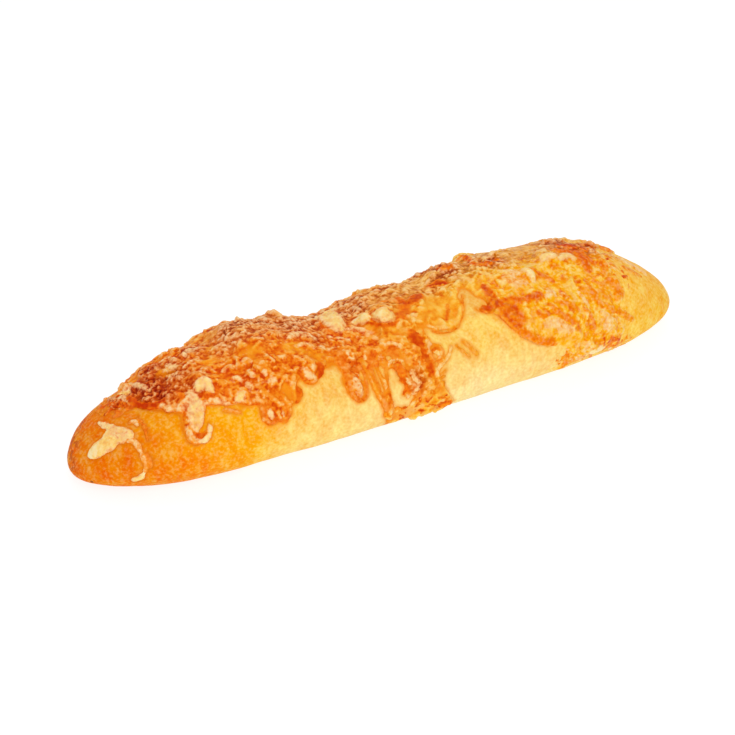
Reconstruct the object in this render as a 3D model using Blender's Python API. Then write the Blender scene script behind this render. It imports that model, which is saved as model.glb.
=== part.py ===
"""A cheese sandwich loaf: a long bread roll with grated cheese melted and browned over its top.

The units are metres and +Z is up. +X runs along the roll, -Y is its front, and the roll rests on
its flat underside at Z = 0. A place on the crust is given by x, the distance along the roll from
its middle, and by girth, the distance round the crust from the front edge of the underside.
"""

import functools
import math
import random

import bmesh
import bpy
import numpy as np
from mathutils import Vector, noise

MM = 0.001

# The bread roll.
LENGTH = 250 * MM
WIDTH = 59 * MM
CROWN = 31.9 * MM  # height of the bread where it doesn't swell
PLAN_POWER = 4.27  # how square the ends are, seen from above
LEFT_POWER = 3.15  # how blunt each end is, seen from the side
RIGHT_POWER = 3.63
SECTION_POWER = 2.15  # 2 is an ellipse, and more is squarer
WIDEST = 0.38  # level of the widest part, as a share of the height
FLOOR_CUT = 0.80  # share of the lower half that the underside leaves
TIP_LIFT = 5.4 * MM  # how far the tips curve up off the floor
# Each swell of the roll: its place along it, its reach to either side and its rise.
SWELLS = (
    (-87 * MM, 14 * MM, 6.0 * MM),
    (-53 * MM, 17 * MM, 8.3 * MM),
    (-1 * MM, 16 * MM, 2.0 * MM),
    (43 * MM, 17 * MM, 6.8 * MM),
    (82 * MM, 19 * MM, 9.2 * MM),
)
RINGS = 54  # sections along the roll
SIDES = 24  # facets over the roll, from one edge of the underside to the other
BASE_SIDES = 4  # facets across the underside
CRISP_EDGE = math.radians(40)  # an edge that turns more than this isn't shaded round

# The melted cheese.
GAP = 0.3 * MM  # between the crust and the cheese on it
SHEET_THICK = 1.2 * MM
SHEET_CRAG = 0.9 * MM  # how far its crags and hollows leave that thickness
CRAG_SIZE = 6.5 * MM
EDGE_WANDER = 1.6 * MM  # how far its edge strays from the lines below
WANDER_SIZE = 7 * MM
RIM = 1.6 * MM  # the edge rounds down over this distance
HEM_SLOPE = 1.1  # beyond the edge the sheet dives under the crust at this slope
HEM_DEPTH = 3.0 * MM
ROOT_DEPTH = 5.0 * MM  # underside of the sheet before the crust is cut out of it
SHEET_CELL = 2.35 * MM
SHEET_SPAN = (-122.5 * MM, 108 * MM)
SHEET_GIRTH = (0.03, 0.90)  # share of the way round the roll
SEED = 7

# Lower edge of the cheese on the front, as x and girth in millimetres.
FRONT_EDGE = (
    (-123, 66), (-109, 55), (-102, 49), (-96, 42), (-89, 36), (-63, 32), (-51, 38), (-22, 37), (8, 42),
    (19, 39), (25, 48), (30, 57), (35, 43), (42, 32), (57, 21), (66, 13), (88, 13), (108, 20),
)
# The lower edge on the back swings about this girth, measured from the back floor edge.
BACK_EDGE = 32 * MM
BACK_SWING = 4.5 * MM
BACK_WAVE = 27 * MM
# Where the cheese stops at each end, as x in millimetres at a share of the way round the roll.
LEFT_EDGE = ((0.0, -110), (0.42, -109), (0.55, -107), (0.7, -104), (1.0, -100))
RIGHT_EDGE = ((0.0, 88), (0.16, 92), (0.24, 89.5), (0.34, 96), (0.5, 102), (0.75, 98), (1.0, 94))
# Drips that run down from the sheet: x and girth of both ends, and the half width, in millimetres.
DRIPS = (
    (-87, 38, -88, 30, 3.2), (-60, 34, -60.5, 27.5, 3.6), (-56, 33, -56, 27.5, 2.4),
    (-50, 36, -51, 30, 1.9), (-42, 42, -42, 37, 3.4), (-27, 40, -26, 27, 3.3),
    (-3, 38, -1, 26, 4.6), (-1, 27, 3, 15, 4.2), (-14, 10.5, 12, 10.5, 2.6),
    (57, 11, 90, 12, 2.4), (-119, 25.5, -113.4, 34.6, 2.9), (-113.4, 34.6, -105.4, 39, 2.7),
)
# The same on the back, with girth measured from the back edge of the underside.
BACK_DRIPS = (
    (-92, 38, -93, 22, 3.2), (-62, 38, -60, 20, 3.0), (-33, 38, -31, 15, 3.8),
    (-6, 38, -9, 22, 2.6), (12, 38, 14, 16, 3.2), (36, 38, 35, 24, 2.6), (60, 38, 63, 12, 4.0),
    (82, 38, 79, 19, 2.6),
)
# Lumps of cheese that kept their body: x, girth, radius and rise in millimetres.
LUMPS = (
    (-78.5, 45.4, 3.6, 1.3), (-68, 38.3, 3.0, 1.2), (-58, 44.2, 2.6, 1.0), (-56, 39.5, 2.4, 1.0),
    (-41.5, 41, 3.4, 1.1), (-25, 43.4, 3.0, 1.1), (-20, 60, 5.0, 2.0), (-4, 55, 6.2, 2.0),
    (16, 51, 8.0, 1.2), (57, 51.4, 3.8, 1.4), (71, 57, 5.6, 1.6), (-90, 62, 4.0, 1.2),
    (34, 72, 5.0, 1.4), (-66, 80, 4.5, 1.3), (6, 82, 5.0, 1.4), (48, 86, 4.5, 1.3),
)
# Strands laid by hand: thickness, rise above the crust, and x and girth along the way.
FRONT_STRANDS = (
    (2.6, 1.2, (-112.1, 47), (-110.6, 44.4), (-108, 40)),
    (2.4, 1.3, (-108.6, 38.6), (-106.6, 33.5), (-106.2, 28.6), (-106.8, 25), (-110.2, 22.2)),
    (2.5, 1.5, (-89.6, 33), (-90.2, 28.6), (-89, 25.8), (-86.4, 24.8), (-84.2, 26.4),
     (-82.4, 30.2)),
    (2.2, 1.5, (-63.4, 33), (-63.6, 27.4), (-60.8, 24.2), (-57.8, 26.2), (-57, 30)),
    (2.0, 1.4, (-57, 28), (-55.6, 25.2), (-53.2, 27), (-53, 31)),
    (2.2, 1.4, (-29.8, 34), (-29.4, 28.4), (-26.3, 24.4), (-23.2, 28), (-23, 33)),
    (2.3, 1.5, (-19.6, 38), (-18.9, 31.7), (-18.6, 25.4), (-16.2, 20), (-15, 14.4), (-14, 10)),
    (2.0, 1.4, (-15.4, 38), (-15, 30.6), (-15, 24), (-14, 18), (-12.6, 12)),
    (2.2, 1.6, (-12, 33), (-9.8, 35.6), (-7.2, 31), (-5, 24), (-3.6, 18)),
    (2.2, 1.5, (7, 42), (4.8, 34), (4.6, 28), (6.4, 21), (10, 15.5), (13, 10.8)),
    (1.8, 1.3, (5.2, 34), (8, 35.4), (10.6, 33), (9.2, 29.4), (5.4, 29.4)),
    (2.1, 1.5, (8, 42.6), (13, 40.2), (18.6, 39.6), (24, 44), (26.6, 50), (26, 57)),
    (2.3, 1.6, (34, 57), (36, 50), (36, 43), (39, 36), (45, 29), (51, 24.6), (57.4, 21)),
    (2.0, 1.3, (29.6, 44.6), (32.4, 42.2), (36, 41.4)),
    (2.0, 1.5, (52, 38), (58, 34.3), (63, 29.6), (66.6, 24)),
    (6.6, 4.4, (-40.4, 75), (-36.8, 74.2)),
    (4.0, 2.6, (-53, 74), (-50.6, 75)),
    (1.9, 1.4, (62, 36), (67, 30), (70, 24), (71.6, 18)),
    (1.9, 1.4, (68, 36), (73, 31), (76, 25), (77.6, 19)),
    (2.1, 1.5, (76, 38), (82, 33), (87, 29), (92, 22), (92.6, 18)),
)
# Strands that lie on the bare crust with no cheese round them.
LOOSE_STRANDS = (
    (2.4, 1.3, (17.6, 36.6), (20.6, 31.6), (24, 26.6)),
    (2.2, 1.2, (14, 35), (17, 31), (20.4, 27.2)),
)
LOOSE_BACK_STRANDS = (
    (2.3, 1.3, (-78, 24), (-74, 20), (-72, 15)),
    (2.2, 1.2, (24, 24), (28, 21), (33, 21)),
    (4.2, 1.4, (96, 26), (101, 22), (106, 20)),
)
SCATTERED_STRANDS = 40  # grated strands that kept their shape on top of the sheet
SCATTER_LENGTH = (6 * MM, 15 * MM)
SCATTER_THICK = (1.9 * MM, 2.8 * MM)
SCATTER_RISE = (1.6 * MM, 2.5 * MM)
STRAND_STEP = 2.6 * MM  # length of one facet of a strand
STRAND_TIP = 0.45  # thickness at a strand's tip, as a share of its middle
KEPT_FACES = 0.46  # share of the sheet's faces left, where it is flattest, before the crust is cut out
CRUMB_VOLUME = 12 * MM**3  # a scrap smaller than this is dropped


def taper(share, power):
    """1 in the middle of the roll and 0 at its tip, and blunter for a higher power."""
    return (1 - min(abs(share), 1) ** power) ** 0.5


def section(x):
    """Half the width at x, the level of the widest part, the rise above it and the depth below."""
    height = CROWN * taper(2 * x / LENGTH, LEFT_POWER if x < 0 else RIGHT_POWER)
    height += sum(rise * math.exp(-(((x - place) / reach) ** 2)) for place, reach, rise in SWELLS)
    half_width = WIDTH / 2 * taper(2 * x / LENGTH, PLAN_POWER)
    middle = WIDEST * height + TIP_LIFT * max(1 - height / CROWN, 0)
    return half_width, middle, (1 - WIDEST) * height, WIDEST * height / FLOOR_CUT


def bent(value):
    """A sine or cosine that turns an ellipse into the roll's squarer section."""
    return np.sign(value) * np.abs(value) ** (2 / SECTION_POWER)


def crust_point(x, turn):
    """Point of the crust: turn is 0 at the front, a quarter circle at the crown and a half at the back."""
    half_width, middle, rise, depth = section(x)
    up = bent(np.sin(turn))
    y = -half_width * bent(np.cos(turn))
    z = np.maximum(middle + np.where(up > 0, rise, depth) * up, 0)
    return np.stack([np.full_like(y, x), y, z], axis=-1)


def floor_turn(x):
    """The turn, below the widest part, at which the crust meets the floor or closes underneath."""
    _, middle, _, depth = section(x)
    return -math.asin(min(middle / max(depth, 1e-9), 1) ** (SECTION_POWER / 2))


@functools.lru_cache(maxsize=None)
def girth_table(x):
    """The turns over the roll at x, with the distance of each one from the front floor edge."""
    start = floor_turn(x)
    turns = np.linspace(start, math.pi - start, 160)
    steps = np.linalg.norm(np.diff(crust_point(x, turns), axis=0), axis=1)
    return turns, np.concatenate([[0], np.cumsum(steps)])


def full_girth(x):
    """Distance over the roll from one edge of the underside to the other."""
    return girth_table(x)[1][-1]


def turn_at(x, girth):
    turns, run = girth_table(x)
    return float(np.interp(girth, run, turns))


def crust_normal(x, turn):
    """The way out of the crust, square to it."""
    step = 0.2 * MM
    reach = LENGTH / 2 - step
    x = min(max(x, -reach), reach)
    along = crust_point(x + step / 2, turn) - crust_point(x - step / 2, turn)
    over = crust_point(x, turn + 0.01) - crust_point(x, turn - 0.01)
    return Vector(np.cross(along, over)).normalized()


def above_crust(x, girth, height):
    """Point that lies this high above the crust."""
    turn = turn_at(x, girth)
    return Vector(crust_point(x, turn)) + crust_normal(x, turn) * height


def ring_places():
    """Places of the sections, closer together towards the tips."""
    steps = np.linspace(-1, 1, RINGS + 1)[1:-1]
    return [LENGTH / 2 * step * (1.25 - 0.25 * step**4) for step in steps]


def material(name, colour, roughness):
    made = bpy.data.materials.new(name)
    made.use_nodes = True
    shader = made.node_tree.nodes["Principled BSDF"]
    shader.inputs["Base Color"].default_value = (*colour, 1)
    shader.inputs["Roughness"].default_value = roughness
    made.diffuse_color = (*colour, 1)
    return made


def link(name, mesh):
    made = bpy.data.objects.new(name, mesh)
    bpy.context.collection.objects.link(made)
    return made


def roll(name, grow=0.0):
    """The bread roll, grown by some distance all round."""
    shell = bmesh.new()
    rings = []
    for x in ring_places():
        start = floor_turn(x)
        over = np.linspace(start, math.pi - start, SIDES + 1)
        points = [Vector(crust_point(x, turn)) + grow * crust_normal(x, turn) for turn in over]
        front, back = points[0], points[-1]
        front.z = back.z = min(front.z, back.z) - grow
        across = [front.lerp(back, step / BASE_SIDES) for step in range(BASE_SIDES - 1, 0, -1)]
        rings.append([shell.verts.new(point) for point in points + across])
    for ring, following in zip(rings, rings[1:]):
        for i in range(len(ring)):
            j = (i + 1) % len(ring)
            shell.faces.new((ring[i], following[i], following[j], ring[j]))
    for ring, side in ((rings[0], -1), (rings[-1], 1)):
        tip = shell.verts.new((side * (LENGTH / 2 + grow), 0, section(side * LENGTH / 2)[1]))
        for i in range(len(ring)):
            shell.faces.new((ring[i], ring[(i + 1) % len(ring)], tip)[::side])
    bmesh.ops.remove_doubles(shell, verts=shell.verts, dist=0.00002)
    bmesh.ops.triangulate(shell, faces=shell.faces)
    bmesh.ops.recalc_face_normals(shell, faces=shell.faces)
    mesh = bpy.data.meshes.new(name)
    shell.to_mesh(mesh)
    shell.free()
    return link(name, mesh)


def nearness(x, girth, drip):
    """How far a place lies inside a drip, in millimetres, and negative outside it."""
    x1, girth1, x2, girth2, half_width = drip
    run = Vector((x2 - x1, girth2 - girth1))
    place = Vector((x - x1, girth - girth1))
    share = min(max(place.dot(run) / run.length_squared, 0), 1)
    return half_width - (place - share * run).length


def line_at(points, value):
    return float(np.interp(value, [point[0] for point in points], [point[1] for point in points]))


def cover(x, girth):
    """How far a place lies inside the sheet's edge, in metres, and negative on the bare crust."""
    round_back = full_girth(x) - girth
    share = girth / full_girth(x)
    back_line = BACK_EDGE + BACK_SWING * math.sin(math.tau * x / BACK_WAVE)
    x_mm, front_mm, back_mm = x / MM, girth / MM, round_back / MM
    inside = min(
        front_mm - line_at(FRONT_EDGE, x_mm),
        back_mm - back_line / MM,
        x_mm - line_at(LEFT_EDGE, share),
        line_at(RIGHT_EDGE, share) - x_mm,
    )
    inside = max([inside] + [nearness(x_mm, front_mm, drip) for drip in DRIPS])
    inside = max([inside] + [nearness(x_mm, back_mm, drip) for drip in BACK_DRIPS])
    wander = noise.noise(Vector((x, girth, 0)) / WANDER_SIZE)
    return inside * MM + EDGE_WANDER * wander


def lump_rise(x, girth):
    total = 0.0
    for place, lump_girth, radius, rise in LUMPS:
        away = math.hypot(x / MM - place, girth / MM - lump_girth) / radius
        total += rise * MM * math.exp(-(away**4))
    return total


def sheet_height(x, girth):
    """Height of the cheese above the crust, which is below zero where the crust is bare."""
    inside = cover(x, girth)
    if inside <= 0:
        return max(inside * HEM_SLOPE, -HEM_DEPTH)
    place = Vector((x, girth, 0)) / CRAG_SIZE
    crag = noise.noise(place) + 0.6 * noise.noise(2.1 * place)
    top = GAP + max(SHEET_THICK + SHEET_CRAG * crag, SHEET_THICK / 2) + lump_rise(x, girth)
    return top * min(inside / RIM, 1) ** 0.5


def sheet():
    """The sheet of cheese as a slab, whose root is inside the bread."""
    columns = round((SHEET_SPAN[1] - SHEET_SPAN[0]) / SHEET_CELL)
    low, high = (share * full_girth(0) for share in SHEET_GIRTH)
    rows = round((high - low) / SHEET_CELL)
    slab = bmesh.new()
    top, root = [], []
    for x in np.linspace(*SHEET_SPAN, columns + 1):
        girths = np.linspace(*SHEET_GIRTH, rows + 1) * full_girth(x)
        top.append([slab.verts.new(above_crust(x, g, sheet_height(x, g))) for g in girths])
        root.append([slab.verts.new(above_crust(x, g, -ROOT_DEPTH)) for g in girths])
    for c in range(columns):
        for r in range(rows):
            for layer, order in ((top, 1), (root, -1)):
                corners = (layer[c][r], layer[c + 1][r], layer[c + 1][r + 1], layer[c][r + 1])
                slab.faces.new(corners[::order])
    bmesh.ops.triangulate(slab, faces=slab.faces, quad_method="SHORT_EDGE")
    rim_edges = [edge for edge in slab.edges if edge.is_boundary]
    bmesh.ops.bridge_loops(slab, edges=rim_edges)
    bmesh.ops.triangulate(slab, faces=slab.faces)
    bmesh.ops.recalc_face_normals(slab, faces=slab.faces)
    mesh = bpy.data.meshes.new("sheet")
    slab.to_mesh(mesh)
    slab.free()
    return link("sheet", mesh)


def rounded(points):
    """The path with its corners cut twice, so that it bends smoothly."""
    for _ in range(2):
        cut = [points[0]]
        for start, end in zip(points, points[1:]):
            cut += [start.lerp(end, 0.25), start.lerp(end, 0.75)]
        points = cut + [points[-1]]
    return points


def evenly(points, step):
    """Points a step apart along a path."""
    run = np.concatenate([[0], np.cumsum([(b - a).length for a, b in zip(points, points[1:])])])
    wanted = np.linspace(0, run[-1], max(round(run[-1] / step), 3) + 1)
    return [
        Vector([np.interp(distance, run, [point[i] for point in points]) for i in range(2)])
        for distance in wanted
    ]


def strand(name, thick, rise, places, from_back=False):
    """A strand of cheese on the crust: a tapered tube through its places, sunk to its rise."""
    path = evenly(rounded([Vector(place) for place in places]), STRAND_STEP)
    curve = bpy.data.curves.new(name, "CURVE")
    curve.dimensions = "3D"
    curve.bevel_depth = thick / 2
    curve.bevel_resolution = 1
    curve.use_fill_caps = True
    spline = curve.splines.new("POLY")
    spline.points.add(len(path) - 1)
    for i, (x, girth) in enumerate(path):
        girth = full_girth(x) - girth if from_back else girth
        spline.points[i].co = (*above_crust(x, girth, rise - thick / 2), 1)
        from_tip = min(i, len(path) - 1 - i) / (len(path) - 1)
        spline.points[i].radius = min(STRAND_TIP + 4 * (1 - STRAND_TIP) * from_tip, 1)
    guide = link(name, curve)
    bpy.context.view_layer.update()
    mesh = bpy.data.meshes.new_from_object(guide.evaluated_get(bpy.context.evaluated_depsgraph_get()))
    bpy.data.objects.remove(guide)
    shell = bmesh.new()
    shell.from_mesh(mesh)
    bmesh.ops.remove_doubles(shell, verts=shell.verts, dist=0.00001)
    bmesh.ops.triangulate(shell, faces=shell.faces)
    bmesh.ops.recalc_face_normals(shell, faces=shell.faces)
    shell.to_mesh(mesh)
    shell.free()
    return link(name, mesh)


def hand_laid_strands():
    groups = (
        (FRONT_STRANDS + LOOSE_STRANDS, False),
        (LOOSE_BACK_STRANDS, True),
    )
    made = []
    for group, from_back in groups:
        for thick, rise, *places in group:
            metres = [(x * MM, girth * MM) for x, girth in places]
            name = f"strand_{len(made)}"
            made.append(strand(name, thick * MM, rise * MM + GAP, metres, from_back))
    return made


def scattered_strands():
    """Grated strands strewn over the sheet, most of them roughly along the roll."""
    draw = random.Random(SEED)
    made = []
    while len(made) < SCATTERED_STRANDS:
        x = draw.uniform(-106 * MM, 104 * MM)
        girth = draw.uniform(0.3, 0.76) * full_girth(x)
        heading = draw.gauss(0, 0.9)
        length = draw.uniform(*SCATTER_LENGTH)
        bend = draw.uniform(-1.3, 1.3)
        thick = draw.uniform(*SCATTER_THICK)
        rise = draw.uniform(*SCATTER_RISE)
        places = [(x, girth)]
        for step in range(4):
            angle = heading + bend * step / 3
            x += length / 4 * math.cos(angle)
            girth += length / 4 * math.sin(angle)
            places.append((x, girth))
        inside = all(SHEET_SPAN[0] < p[0] < SHEET_SPAN[1] and cover(*p) > thick / 2 for p in places)
        if inside:
            made.append(strand(f"scattered_{len(made)}", thick, rise, places))
    return made


def apply_modifier(target, kind, **settings):
    modifier = target.modifiers.new(kind.lower(), kind)
    for setting, value in settings.items():
        setattr(modifier, setting, value)
    bpy.context.view_layer.update()
    done = target.evaluated_get(bpy.context.evaluated_depsgraph_get())
    mesh = bpy.data.meshes.new_from_object(done)
    target.modifiers.clear()
    target.data = mesh


def cheese():
    """The sheet with every strand fused to it, cut clear of the crust."""
    body = sheet()
    strands = bpy.data.collections.new("strands")
    bpy.context.scene.collection.children.link(strands)
    for one in hand_laid_strands() + scattered_strands():
        bpy.context.collection.objects.unlink(one)
        strands.objects.link(one)
    joined = {"operation": "UNION", "operand_type": "COLLECTION", "collection": strands}
    apply_modifier(body, "BOOLEAN", solver="MANIFOLD", **joined)
    for one in list(strands.objects):
        bpy.data.objects.remove(one)
    bpy.data.collections.remove(strands)
    apply_modifier(body, "DECIMATE", ratio=KEPT_FACES, use_collapse_triangulate=True)
    bread = roll("bread", grow=GAP)
    apply_modifier(body, "BOOLEAN", solver="MANIFOLD", operation="DIFFERENCE", object=bread)
    bpy.data.objects.remove(bread)
    return body


def pieces_of(body):
    """The body's separate pieces, largest first, without scraps. The body is removed."""
    whole = bmesh.new()
    whole.from_mesh(body.data)
    bmesh.ops.triangulate(whole, faces=whole.faces)
    unseen = set(whole.verts)
    pieces = []
    while unseen:
        island, edge = set(), [next(iter(unseen))]
        while edge:
            vert = edge.pop()
            if vert in island:
                continue
            island.add(vert)
            edge += [way.other_vert(vert) for way in vert.link_edges]
        unseen -= island
        piece = bmesh.new()
        copies = {vert: piece.verts.new(vert.co) for vert in sorted(island, key=lambda v: v.index)}
        for face in {face for vert in island for face in vert.link_faces}:
            piece.faces.new([copies[vert] for vert in face.verts])
        if piece.calc_volume() > CRUMB_VOLUME:
            pieces.append(piece)
    whole.free()
    bpy.data.objects.remove(body)
    return sorted(pieces, key=lambda piece: -piece.calc_volume())


def main():
    for old in list(bpy.data.objects):
        bpy.data.objects.remove(old)
    crust = material("bread_crust", (0.80, 0.45, 0.13), 0.6)
    melted = material("melted_cheese", (0.80, 0.36, 0.08), 0.4)
    loaf = roll("loaf")
    loaf.data.materials.append(crust)
    loaf.data.shade_smooth()
    loaf.data.set_sharp_from_angle(angle=CRISP_EDGE)
    sheet_piece, patch, *strands = pieces_of(cheese())
    strands.sort(key=lambda piece: min(vert.co.x for vert in piece.verts))
    named = {"cheese_sheet": sheet_piece, "cheese_left_patch": patch}
    named.update({f"cheese_strand_{i + 1}": piece for i, piece in enumerate(strands)})
    for name, piece in named.items():
        mesh = bpy.data.meshes.new(name)
        piece.to_mesh(mesh)
        piece.free()
        mesh.materials.append(melted)
        link(name, mesh)


main()
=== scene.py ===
# %% [markdown]
# # A cheese sandwich loaf
# The object is a long bread roll whose top was strewn with grated cheese before it was baked. The
# cheese melted into one sheet, ran down the sides in drips and strands, and browned. The packed
# model gives the exact form of the roll and of the cheese, and this lesson gives both their
# surfaces. The work is done in metres, +X runs along the roll and -Y is its front.

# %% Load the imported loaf
import math
import random

import bpy
import numpy as np
from mathutils import Matrix, Vector, kdtree, noise
from mathutils.bvhtree import BVHTree


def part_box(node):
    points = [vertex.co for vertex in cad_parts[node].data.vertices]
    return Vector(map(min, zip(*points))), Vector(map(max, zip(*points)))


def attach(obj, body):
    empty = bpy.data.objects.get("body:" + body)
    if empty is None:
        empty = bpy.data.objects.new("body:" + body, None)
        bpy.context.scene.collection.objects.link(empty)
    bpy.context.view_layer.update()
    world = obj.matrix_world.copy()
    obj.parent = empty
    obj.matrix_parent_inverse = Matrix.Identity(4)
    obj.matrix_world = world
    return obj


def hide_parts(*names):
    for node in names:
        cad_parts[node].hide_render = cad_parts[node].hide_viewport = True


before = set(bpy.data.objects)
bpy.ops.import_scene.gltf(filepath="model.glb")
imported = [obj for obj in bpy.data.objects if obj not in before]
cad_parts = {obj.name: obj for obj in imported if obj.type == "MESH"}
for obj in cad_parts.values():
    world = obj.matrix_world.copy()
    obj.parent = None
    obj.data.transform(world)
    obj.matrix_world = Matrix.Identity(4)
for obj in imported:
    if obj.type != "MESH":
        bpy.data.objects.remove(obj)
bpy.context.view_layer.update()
MM = 0.001
ROLL_NODE = "loaf"
SHEET_NODE = "cheese_sheet"
CHEESE_NODES = sorted(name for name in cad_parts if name.startswith("cheese_"))
print("nodes:", ROLL_NODE, *CHEESE_NODES)

# %% [markdown]
# ## Camera
# The photograph was taken with a long lens from the front, turned towards the left end. The camera
# comes first, because the details of the cheese are placed by where the photograph shows them.

# %% Set up the camera
PHOTO_SIDE = 735  # the photograph is square, and this many pixels wide
CAMERA_AIM = Vector((-7.2, -0.9, 12.7)) * MM
CAMERA_AZIMUTH = math.radians(-29.79)
CAMERA_ELEVATION = math.radians(31.54)
CAMERA_DISTANCE = 0.9
LENS, SENSOR = 120.96, 36.0

toward_camera = Vector(
    (
        math.sin(CAMERA_AZIMUTH) * math.cos(CAMERA_ELEVATION),
        -math.cos(CAMERA_AZIMUTH) * math.cos(CAMERA_ELEVATION),
        math.sin(CAMERA_ELEVATION),
    )
)
bpy.ops.object.camera_add(location=CAMERA_AIM + CAMERA_DISTANCE * toward_camera)
camera = bpy.context.object
camera.rotation_euler = toward_camera.to_track_quat("Z", "Y").to_euler()
camera.data.lens = LENS
camera.data.sensor_width = SENSOR
bpy.context.scene.camera = camera
bpy.context.view_layer.update()
print("camera at", [round(v, 3) for v in camera.location])


# %% [markdown]
# ## Helpers
# A modifier is easiest to reason about once it is applied, because the mesh then holds its own
# shape. An operator acts on everything selected, so each helper first selects what it works on.


# %% Select, apply and copy
def select_only(*objects):
    bpy.ops.object.select_all(action="DESELECT")
    for one in objects:
        one.select_set(True)
    bpy.context.view_layer.objects.active = objects[0]


def apply_modifier(piece, kind, **settings):
    modifier = piece.modifiers.new(kind.lower(), kind)
    for setting, value in settings.items():
        setattr(modifier, setting, value)
    select_only(piece)
    bpy.ops.object.modifier_apply(modifier=modifier.name)


def remesh(piece, cell):
    """Makes one closed skin of even cells."""
    apply_modifier(piece, "REMESH", mode="VOXEL", voxel_size=cell)


def smooth(piece, rounds, **settings):
    apply_modifier(piece, "SMOOTH", factor=0.5, iterations=rounds, **settings)


SAME_CORNER = 0.01 * MM  # corners nearer than this are joined


def merged_copy(node_name, name):
    """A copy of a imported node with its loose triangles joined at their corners."""
    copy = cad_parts[node_name].copy()
    copy.data = copy.data.copy()
    copy.name = name
    copy.parent = None
    for key in list(copy.keys()):
        del copy[key]
    bpy.context.collection.objects.link(copy)
    copy.data.materials.clear()
    select_only(copy)
    bpy.ops.object.mode_set(mode="EDIT")
    bpy.ops.mesh.select_all(action="SELECT")
    bpy.ops.mesh.remove_doubles(threshold=SAME_CORNER)
    bpy.ops.object.mode_set(mode="OBJECT")
    return copy


def triangles(piece):
    return sum(len(face.vertices) - 2 for face in piece.data.polygons)


# %% [markdown]
# Tens of thousands of points are moved below. One at a time that is slow in Python, so they are read
# into an array, worked out all together and written back.


# %% Read and write a mesh as arrays
def points_of(piece):
    flat = np.empty(len(piece.data.vertices) * 3, np.float32)
    piece.data.vertices.foreach_get("co", flat)
    return flat.reshape(-1, 3).astype(float)


def set_points(piece, points):
    piece.data.vertices.foreach_set("co", points.astype(np.float32).ravel())
    piece.data.update()


def weigh_points(piece, name, weights):
    """A vertex group, which says how far a modifier may change each point."""
    group = piece.vertex_groups.new(name=name)
    for index, weight in enumerate(weights):
        group.add([index], float(weight), "REPLACE")


def set_attribute(piece, name, values):
    layer = piece.data.attributes.new(name, "FLOAT", "POINT")
    layer.data.foreach_set("value", np.asarray(values, np.float32))


def surface_of(piece):
    return BVHTree.FromObject(piece, bpy.context.evaluated_depsgraph_get())


def rows(vectors):
    return np.array([tuple(vector) for vector in vectors])


def step_up(values, low, high):
    """Goes smoothly from 0 at low to 1 at high."""
    part = np.clip((values - low) / (high - low), 0, 1)
    return part * part * (3 - 2 * part)


def evened(piece, values, rounds):
    """The values at a mesh's points, averaged with their neighbours' as often as asked."""
    ends = np.empty(len(piece.data.edges) * 2, np.int32)
    piece.data.edges.foreach_get("vertices", ends)
    one, other = ends.reshape(-1, 2).T
    count = np.bincount(ends, minlength=len(values))
    for _ in range(rounds):
        total = np.bincount(one, values[other], len(values))
        total += np.bincount(other, values[one], len(values))
        values = 0.5 * values + 0.5 * total / count
    return values


# %% [markdown]
# ## The roll
# The crust is one smooth skin with soft dents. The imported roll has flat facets, so its copy is
# remeshed into small even cells, and smoothing those takes the facets out. The skin is then blown
# up a little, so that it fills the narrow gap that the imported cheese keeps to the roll.

# %% Make the crust
CRUST_CELL = 0.72 * MM
CRUST_SMOOTHING = 45
PACKED_GAP = 0.3 * MM
roll = merged_copy(ROLL_NODE, "bread_roll")
remesh(roll, CRUST_CELL)
smooth(roll, CRUST_SMOOTHING)
apply_modifier(roll, "DISPLACE", strength=PACKED_GAP, mid_level=0)
print("crust", triangles(roll), "triangles")

# %% [markdown]
# A baked crust is never even. Its broad, shallow dents and its faint grain come from two cloud
# textures, because a texture moves each point by its place and needs no painting.

# %% Dent and roughen the crust
BASE_RIM = 4 * MM  # the dents fade out below this height, so that the base stays flat
weigh_points(roll, "off_base", np.clip(points_of(roll)[:, 2] / BASE_RIM, 0, 1))
for name, size, detail, strength in (
    ("soft_dents", 15 * MM, 1, 1.1 * MM),
    ("crust_skin", 2.6 * MM, 3, 0.18 * MM),
):
    texture = bpy.data.textures.new(name, "CLOUDS")
    texture.noise_basis = "IMPROVED_PERLIN"
    texture.noise_scale, texture.noise_depth = size, detail
    apply_modifier(
        roll, "DISPLACE", texture=texture, texture_coords="LOCAL", strength=strength,
        mid_level=0.5, vertex_group="off_base",
    )
    print(name, round(size / MM, 1), "mm wide and up to", round(strength / 2 / MM, 2), "mm high")


# %% [markdown]
# The top rises and falls along the roll, where the cheese lies thick or has sunk into a hollow. A
# list of small lifts, fullest on the top and fading out down the sides, follows the outline in the
# photograph. Roll and cheese get the same lifts, so they stay together.

# %% Lift and lower the top
TOP_LIFTS = (
    # along the loaf and up, in mm
    (-108, 0), (-100, -1.6), (-92, -2.6), (-86, -1.6), (-81, 0.8), (-76, 1.4), (-70, 0), (-66, -0.6),
    (-60, 0.6), (-55, 0.2), (-50, -0.9), (-42, -0.3), (-35, 0.5), (-28, -0.4), (-20, -1.3),
    (-12, -1.6), (-9, -1.7), (-6, 0.2), (0, 0.4), (8, 1.4), (14, 1.4), (21, 0.2), (29, 1.0), (34, -0.2),
    (42, -1.4), (47, -0.3), (54, 1.2), (60, 1.4), (68, 0.3), (75, -1.2), (84, -1.5), (88, -0.2),
    (93, 1.4), (99, 1.6), (105, 1.0), (113, 0.3), (119, 0),
)
LIFTED_FROM, LIFTED_FULLY = 10 * MM, 25 * MM  # heights


def lifted(points):
    """Points with their heights changed by the lifts: fully near the top, not at all low down."""
    along, lift = np.array(TOP_LIFTS).T * MM
    rise = np.interp(points[:, 0], along, lift) * step_up(points[:, 2], LIFTED_FROM, LIFTED_FULLY)
    return points + np.outer(rise, (0, 0, 1))


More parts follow.
